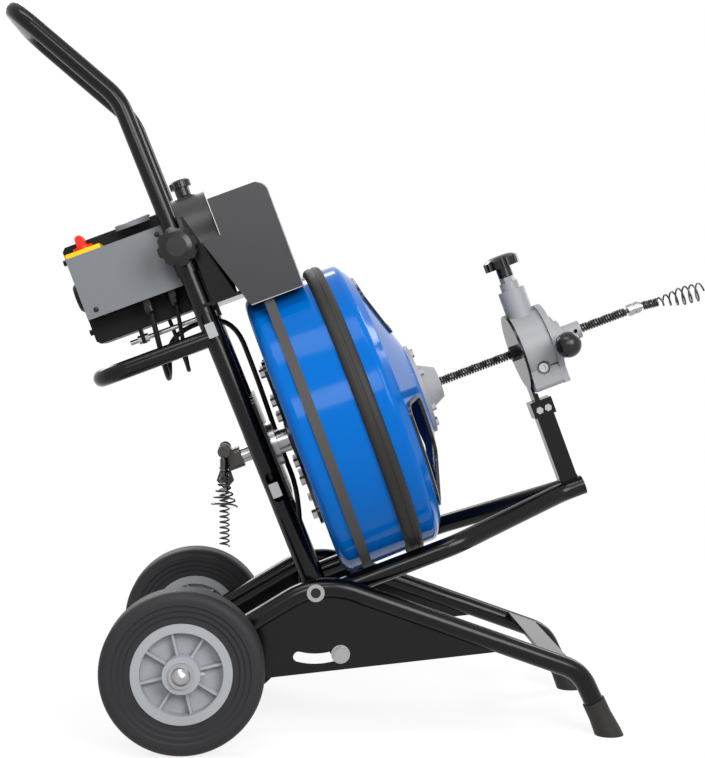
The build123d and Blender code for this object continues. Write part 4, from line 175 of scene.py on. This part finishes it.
# Stage, in metres: each lamp has its place, its width, its height and its power in watts
FLOOR_HALF = 1.6
FLOOR_DROP = 0.0005
FLOOR_SHADE = 0.5
FLOOR_GLOW = 1.38
FLOOR_GLOW_SHARE = 0.6
WORLD_LIGHT = 0.2
WORLD_WHITE = 1.0
LAMP_TARGET = (0.0, 0.0, 0.5)
LAMPS = {
    "key": ((1.1, -2.5, 1.7), 1.45, 1.45, 56),
    "front": ((-0.45, -3.2, 1.75), 1.0, 0.8, 22),
    "top": ((-0.6, -1.2, 2.9), 1.8, 0.8, 26),
    "edge": ((1.9, 1.5, 1.9), 0.5, 1.6, 20),
    "back": ((-1.3, 2.3, 2.1), 1.8, 1.1, 48),
}


# Places on the machine, and objects in the scene

def base_at(x, y, z):
    """A place on the base, x measured from the axle."""
    return Vector((AXLE_X + x, y, z)) * MM


def frame_at(u, y, w):
    """A place on the tilted frame: u along the drum's axis, w across it."""
    x = DRUM_X + u * cos(TILT) - w * sin(TILT)
    z = DRUM_Z + u * sin(TILT) + w * cos(TILT)
    return Vector((x, y, z)) * MM


def linked(name, data):
    """A new object in the scene."""
    made = bpy.data.objects.new(name, data)
    bpy.context.scene.collection.objects.link(made)
    return made


# Camera

def add_camera():
    """The camera, where the photograph was taken from."""
    camera_data = bpy.data.cameras.new("photo_camera")
    camera_data.lens = CAMERA_LENS
    camera_data.sensor_width = CAMERA_SENSOR
    camera_data.clip_end = CAMERA_REACH
    camera = linked("photo_camera", camera_data)
    camera.location = CAMERA_PLACE
    camera.rotation_euler = (radians(90 - CAMERA_PITCH), 0, radians(-CAMERA_YAW))
    bpy.context.scene.camera = camera


# Materials

def linear(level):
    """A colour channel from 0 to 255, made linear by the sRGB rule."""
    share = level / 255
    if share <= 0.04045:
        return share / 12.92
    return ((share + 0.055) / 1.055) ** 2.4


def colour(red, green, blue):
    """An opaque colour from channels of 0 to 255."""
    return (linear(red), linear(green), linear(blue), 1.0)


def finish_of(name, shade, roughness, grain, metallic=0.0, specular=0.3):
    """A plain finish: one colour, its gloss and its grain."""
    material = bpy.data.materials.new(name)
    material.use_nodes = True
    shader = material.node_tree.nodes["Principled BSDF"]
    shader.inputs["Base Color"].default_value = colour(*shade)
    shader.inputs["Roughness"].default_value = roughness
    shader.inputs["Metallic"].default_value = metallic
    shader.inputs["Specular IOR Level"].default_value = specular
    material.diffuse_color = colour(*shade)
    add_grain(material, *grain)
    return material


def add_grain(material, scale, strength, depth):
    """Fine unevenness of a painted, moulded or cast surface, laid in the object's own coordinates."""
    nodes = material.node_tree.nodes
    links = material.node_tree.links
    place = nodes.new("ShaderNodeTexCoord")
    noise = nodes.new("ShaderNodeTexNoise")
    noise.inputs["Scale"].default_value = scale
    noise.inputs["Detail"].default_value = GRAIN_DETAIL
    bump = nodes.new("ShaderNodeBump")
    bump.inputs["Strength"].default_value = strength
    bump.inputs["Distance"].default_value = depth
    links.new(place.outputs["Object"], noise.inputs["Vector"])
    links.new(noise.outputs["Fac"], bump.inputs["Height"])
    links.new(bump.outputs["Normal"], nodes["Principled BSDF"].inputs["Normal"])


finishes = {name: finish_of(name, **look) for name, look in FINISHES.items()}


def dress_nodes():
    """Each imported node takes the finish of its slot."""
    for subpart in frame["record"]["subparts"]:
        node = frame["nodes"][subpart["node"]]
        node.data.materials.clear()
        node.data.materials.append(finishes[subpart["material_slot"]])


# Cords

def route_curve(name, route, diameter):
    """One smooth spline along a route, round in section."""
    curve = bpy.data.curves.new(name, "CURVE")
    curve.dimensions = "3D"
    curve.bevel_depth = diameter / 2
    curve.bevel_resolution = CORD_SECTION_STEPS
    curve.use_fill_caps = True
    curve.resolution_u = CORD_LENGTH_STEPS
    spline = curve.splines.new("NURBS")
    spline.points.add(len(route) - 1)
    for point, place in zip(spline.points, route):
        point.co = (*place, 1.0)
    spline.order_u = CORD_SPLINE_ORDER
    spline.use_endpoint_u = True
    curve.materials.append(finishes["lead_rubber"])
    return linked(name, curve)


def evaluated_mesh(obj):
    """The object's mesh as Blender draws it, modifiers and bevel included."""
    bpy.context.view_layer.update()
    graph = bpy.context.evaluated_depsgraph_get()
    return bpy.data.meshes.new_from_object(obj.evaluated_get(graph))


def centreline(cord):
    """The spline's own line, as the points that Blender draws it with."""
    bevel = cord.data.bevel_depth
    cord.data.bevel_depth = 0.0
    line = evaluated_mesh(cord)
    cord.data.bevel_depth = bevel
    return [vertex.co.copy() for vertex in line.vertices]


def as_tube(cord):
    """The same cord as a smooth-shaded mesh, in place of the curve."""
    mesh = evaluated_mesh(cord)
    mesh.name = cord.name
    for face in mesh.polygons:
        face.use_smooth = True
    tube = linked(cord.name + "_tube", mesh)
    bpy.data.objects.remove(cord)
    return tube


def put_away_coil():
    """Control points of the coil behind the near wheel: in, up one layer, and out again."""
    centre = base_at(COIL_X, COIL_Y, LEAD_DIAMETER / 2 / MM)
    inner_radius = COIL_RADIUS - COIL_PITCH * COIL_TURNS_INWARD
    climb_turns = COIL_OUTWARD_FROM - COIL_TURNS_INWARD
    points = []
    for step in range(int(COIL_TURNS * COIL_POINTS) + 1):
        turn = step / COIL_POINTS
        radius = COIL_RADIUS - COIL_PITCH * turn
        if turn > COIL_TURNS_INWARD:
            radius = inner_radius + COIL_PITCH * max(0.0, turn - COIL_OUTWARD_FROM)
        share = min(1.0, max(0.0, (turn - COIL_TURNS_INWARD) / climb_turns))
        rise = COIL_RISE * share * share * (3 - 2 * share)
        angle = tau * turn
        points.append(centre + Vector((-radius * sin(angle), radius * cos(angle), rise)) * MM)
    return points


def add_power_lead():
    """From the lower gland, down the frame and over the hinge to the coil and plug."""
    on_frame = [
        frame_at(-145, -66, 272.2),
        frame_at(-158, -66, 165),
        frame_at(-161, 45, 165),
        frame_at(-140, 60, 236),
        frame_at(-25, 62, 234),
        frame_at(-23, 66, 110),
        frame_at(-27, 60, -20),
        frame_at(-25, 65, -100),
        frame_at(-71, 62, -231),
    ]
    leave_way = (on_frame[-1] - on_frame[-2]).normalized()
    coil = put_away_coil()
    on_base = [
        on_frame[-1] + leave_way * LEAD_LEAVE,
        base_at(170, 80, 80),
        coil[0] + Vector((LEAD_COIL_ENTRY, 0, 0)),
    ]
    out_way = (coil[-1] - coil[-2]).normalized()
    tail = [coil[-1] + out_way * LEAD_TAIL]
    route = on_frame + on_base + coil + tail
    curve = route_curve("power_lead_curve", route, LEAD_DIAMETER)
    path = centreline(curve)
    tube = as_tube(curve)
    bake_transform(tube)
    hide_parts("frame_leads", "power_lead")
    tie = add_coil_tie()


def add_motor_lead():
    """From the upper gland in a loop back into the motor's underside."""
    route = [
        frame_at(-102, -66, 272.2),
        frame_at(-122, -66, 166),
        frame_at(-124, 14, 166),
        frame_at(-126, 14, 256.6),
    ]
    curve = route_curve("motor_lead_curve", route, MOTOR_LEAD_DIAMETER)
    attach(curve, "frame")
    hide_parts("frame_leads")


def band_mesh(name, outline, width, thickness):
    """A strap bent round a closed outline given in its own plane."""
    mesh = bpy.data.meshes.new(name)
    shape = bmesh.new()
    rings = []
    count = len(outline)
    for index, (across, up) in enumerate(outline):
        before = outline[index - 1]
        after = outline[(index + 1) % count]
        way = Vector((after[0] - before[0], after[1] - before[1])).normalized()
        out = Vector((way.y, -way.x)) * thickness
        corners = []
        for side in (-width / 2, width / 2):
            corners.append(shape.verts.new((across, side, up)))
            corners.append(shape.verts.new((across + out.x, side, up + out.y)))
        rings.append(corners)
    for index in range(count):
        ring = rings[index]
        following = rings[(index + 1) % count]
        for first, second in ((0, 1), (1, 3), (3, 2), (2, 0)):
            shape.faces.new((ring[first], ring[second], following[second], following[first]))
    bmesh.ops.recalc_face_normals(shape, faces=shape.faces)
    shape.to_mesh(mesh)
    shape.free()
    return mesh


def add_coil_tie():
    """A rubber strap round the turns of the put-away coil."""
    side = TIE_HALF - TIE_CORNER
    top = TIE_HEIGHT - TIE_CORNER
    outline = []
    for centre_x, centre_z, start in (
        (side, TIE_CORNER, -pi / 2),
        (side, top, 0),
        (-side, top, pi / 2),
        (-side, TIE_CORNER, pi),
    ):
        for step in range(TIE_CORNER_STEPS + 1):
            angle = start + step / TIE_CORNER_STEPS * pi / 2
            x = centre_x + TIE_CORNER * cos(angle)
            z = centre_z + TIE_CORNER * sin(angle)
            outline.append((x * MM, z * MM))
    mesh = band_mesh("coil_tie", outline, TIE_WIDTH * MM, TIE_THICKNESS * MM)
    mesh.materials.append(finishes["lead_rubber"])
    tie = linked("coil_tie", mesh)
    outward = Vector((cos(TIE_DIRECTION), sin(TIE_DIRECTION), 0))
    tie.location = base_at(COIL_X, COIL_Y, TIE_THICKNESS) + outward * TIE_DISTANCE * MM
    tie.rotation_euler = (0, 0, TIE_DIRECTION)
    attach(tie, "base")
    return tie


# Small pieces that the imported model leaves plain

def thin_sheet(name, places, faces, thickness, finish):
    """A sheet of the given thickness on the outer side of its faces."""
    mesh = bpy.data.meshes.new(name)
    mesh.from_pydata(places, [], faces)
    mesh.materials.append(finishes[finish])
    sheet = linked(name, mesh)
    shell = sheet.modifiers.new("thickness", "SOLIDIFY")
    shell.thickness = thickness * MM
    shell.offset = 1.0
    return sheet


def add_nameplate():
    """A bare plate bent over the motor's near upper edge."""
    line = []
    for turned in range(PLATE_BEND_START, PLATE_BEND_END + 1, ARC_STEP):
        angle = radians(turned)
        y = PLATE_BEND_Y - PLATE_BEND_RADIUS * cos(angle)
        line.append((y, PLATE_BEND_W + PLATE_BEND_RADIUS * sin(angle)))
    line.append((PLATE_END_Y, PLATE_BEND_W + PLATE_BEND_RADIUS))
    places = [frame_at(u, y, w) for y, w in line for u in (PLATE_REAR_U, PLATE_FRONT_U)]
    faces = [(2 * i, 2 * i + 1, 2 * i + 3, 2 * i + 2) for i in range(len(line) - 1)]
    plate = thin_sheet("nameplate", places, faces, PLATE_THICKNESS, "cover_grey")
    for face in plate.data.polygons:
        face.use_smooth = True
    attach(plate, "frame")


def add_painted_guard_highlight():
    """A painted highlight: a light grey strip along the belt guard's foot and its front, standing in for light
    caught by the sheet's bent edges.
    """
    inner_u = GUARD_FRONT_U - GUARD_HIGHLIGHT_WIDTH
    inner_w = GUARD_LOW_W + GUARD_HIGHLIGHT_WIDTH
    rims = [
        ((GUARD_LOW_U, GUARD_LOW_W), (GUARD_LOW_U, inner_w)),
        ((GUARD_FRONT_U - GUARD_CORNER, GUARD_LOW_W + GUARD_CORNER), (inner_u, inner_w)),
    ]
    centre_u = GUARD_FRONT_U - GUARD_ROUND
    centre_w = GUARD_TOP_W - GUARD_ROUND
    for turned in range(0, GUARD_ROUND_END + 1, ARC_STEP):
        angle = radians(turned)
        rim = []
        for radius in (GUARD_ROUND, GUARD_ROUND - GUARD_HIGHLIGHT_WIDTH):
            rim.append((centre_u + radius * cos(angle), centre_w + radius * sin(angle)))
        rims.append(rim)
    places = [frame_at(u, GUARD_FACE_Y, w) for rim in rims for u, w in rim]
    faces = [(2 * i, 2 * i + 2, 2 * i + 3, 2 * i + 1) for i in range(len(rims) - 1)]
    # The light grey finish paints the highlight on the guard's bent edges
    edge = thin_sheet("painted_guard_highlight", places, faces, GUARD_HIGHLIGHT_THICKNESS, "hub_grey")
    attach(edge, "frame")


def turned_mesh(name, profile, sides):
    """A closed solid turned about the y axis, its profile given as radii and heights towards the front."""
    mesh = bpy.data.meshes.new(name)
    shape = bmesh.new()
    rows = []
    for radius, height in profile:
        row = []
        for step in range(sides):
            angle = tau * step / sides
            row.append(shape.verts.new((radius * cos(angle), -height, radius * sin(angle))))
        rows.append(row)
    for row, following in zip(rows, rows[1:]):
        for step in range(sides):
            after = (step + 1) % sides
            shape.faces.new((row[step], row[after], following[after], following[step]))
    shape.faces.new(rows[-1])
    shape.faces.new(rows[0][::-1])
    bmesh.ops.recalc_face_normals(shape, faces=shape.faces)
    shape.to_mesh(mesh)
    shape.free()
    return mesh


def add_cover_screws():
    """Domed screws with a round recess, in two corners of the control box's cover."""
    profile = []
    for share, height in COVER_SCREW_PROFILE:
        profile.append((share * COVER_SCREW_RADIUS * MM, height * MM))
    for index, (u, w) in enumerate(COVER_SCREWS):
        name = "cover_screw_%d" % index
        mesh = turned_mesh(name, profile, COVER_SCREW_SIDES)
        mesh.materials.append(finishes["black_plastic"])
        screw = linked(name, mesh)
        screw.location = frame_at(u, COVER_FACE_Y, w)
        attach(screw, "frame")


def add_pivot_recess_shade():
    """Painted shade: black discs in the recesses at both ends of the pivot rod, darkening the recessed centres."""
    middle_y = PIVOT_END_Y - PIVOT_RECESS + PIVOT_SHADE_DISC_THICKNESS / 2
    radius = PIVOT_SHADE_DISC_RADIUS * MM
    for side, end in ((-1, "near"), (1, "far")):
        name = "pivot_shade_disc_" + end
        mesh = bpy.data.meshes.new(name)
        shape = bmesh.new()
        bmesh.ops.create_cone(
            shape, cap_ends=True, segments=PIVOT_SHADE_DISC_SIDES, depth=PIVOT_SHADE_DISC_THICKNESS * MM,
            radius1=radius, radius2=radius, matrix=Matrix.Rotation(radians(90), 4, "X"),
        )
        shape.to_mesh(mesh)
        shape.free()
        # The black finish paints the shade inside the recess
        mesh.materials.append(finishes["black_plastic"])
        shade_disc = linked(name, mesh)
        shade_disc.location = Vector((PIVOT_X, side * middle_y, PIVOT_Z)) * MM
        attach(shade_disc, "base")


# Stage

def seen_rays(tree):
    """One for a ray that sees the background: straight, mirrored or through something clear."""
    rays = tree.nodes.new("ShaderNodeLightPath")
    seen = tree.nodes.new("ShaderNodeMath")
    seen.operation = "MAXIMUM"
    through = tree.nodes.new("ShaderNodeMath")
    through.operation = "MAXIMUM"
    tree.links.new(rays.outputs["Is Camera Ray"], seen.inputs[0])
    tree.links.new(rays.outputs["Is Glossy Ray"], seen.inputs[1])
    tree.links.new(seen.outputs["Value"], through.inputs[0])
    tree.links.new(rays.outputs["Is Transmission Ray"], through.inputs[1])
    return through.outputs["Value"]


def floor_material():
    """White where it is seen, with the object's shadow; a plain matte floor to all other light."""
    material = bpy.data.materials.new("floor_white")
    material.use_nodes = True
    nodes = material.node_tree.nodes
    links = material.node_tree.links
    nodes.clear()
    output = nodes.new("ShaderNodeOutputMaterial")
    matte = nodes.new("ShaderNodeBsdfDiffuse")
    matte.inputs["Color"].default_value = (FLOOR_SHADE, FLOOR_SHADE, FLOOR_SHADE, 1)
    glow = nodes.new("ShaderNodeEmission")
    glow.inputs["Strength"].default_value = FLOOR_GLOW
    share = nodes.new("ShaderNodeMath")
    share.operation = "MULTIPLY"
    share.inputs[1].default_value = FLOOR_GLOW_SHARE
    mix = nodes.new("ShaderNodeMixShader")
    links.new(seen_rays(material.node_tree), share.inputs[0])
    links.new(share.outputs["Value"], mix.inputs["Fac"])
    links.new(matte.outputs["BSDF"], mix.inputs[1])
    links.new(glow.outputs["Emission"], mix.inputs[2])
    links.new(mix.outputs["Shader"], output.inputs["Surface"])
    return material


def add_floor():
    """A floor just below the tyres, with the white world beyond its far edge."""
    half = FLOOR_HALF
    corners = [(-half, -half, 0), (half, -half, 0), (half, half, 0), (-half, half, 0)]
    mesh = bpy.data.meshes.new("floor")
    mesh.from_pydata(corners, [], [(0, 1, 2, 3)])
    mesh.materials.append(floor_material())
    floor = linked("floor", mesh)
    floor.location = (0, 0, -FLOOR_DROP)


def add_world():
    """White where it is seen, and a dim even light on the object."""
    world = bpy.data.worlds.new("studio")
    bpy.context.scene.world = world
    world.use_nodes = True
    nodes = world.node_tree.nodes
    links = world.node_tree.links
    nodes.clear()
    output = nodes.new("ShaderNodeOutputWorld")
    dim = nodes.new("ShaderNodeBackground")
    dim.inputs["Strength"].default_value = WORLD_LIGHT
    white = nodes.new("ShaderNodeBackground")
    white.inputs["Strength"].default_value = WORLD_WHITE
    for background in (dim, white):
        background.inputs["Color"].default_value = (1, 1, 1, 1)
    mix = nodes.new("ShaderNodeMixShader")
    links.new(seen_rays(world.node_tree), mix.inputs["Fac"])
    links.new(dim.outputs["Background"], mix.inputs[1])
    links.new(white.outputs["Background"], mix.inputs[2])
    links.new(mix.outputs["Shader"], output.inputs["Surface"])


def add_lamps():
    """Softboxes, all turned towards the middle of the machine."""
    for name, (place, width, height, power) in LAMPS.items():
        lamp_data = bpy.data.lights.new(name, "AREA")
        lamp_data.shape = "RECTANGLE"
        lamp_data.size = width
        lamp_data.size_y = height
        lamp_data.energy = power
        lamp = linked(name, lamp_data)
        lamp.location = place
        way = Vector(LAMP_TARGET) - Vector(place)
        lamp.rotation_euler = way.to_track_quat("-Z", "Y").to_euler()


add_camera()
dress_nodes()
add_power_lead()
add_motor_lead()
add_nameplate()
add_painted_guard_highlight()
add_cover_screws()
add_pivot_recess_shade()
add_floor()
add_world()
add_lamps()
bpy.context.scene.view_settings.view_transform = "Standard"
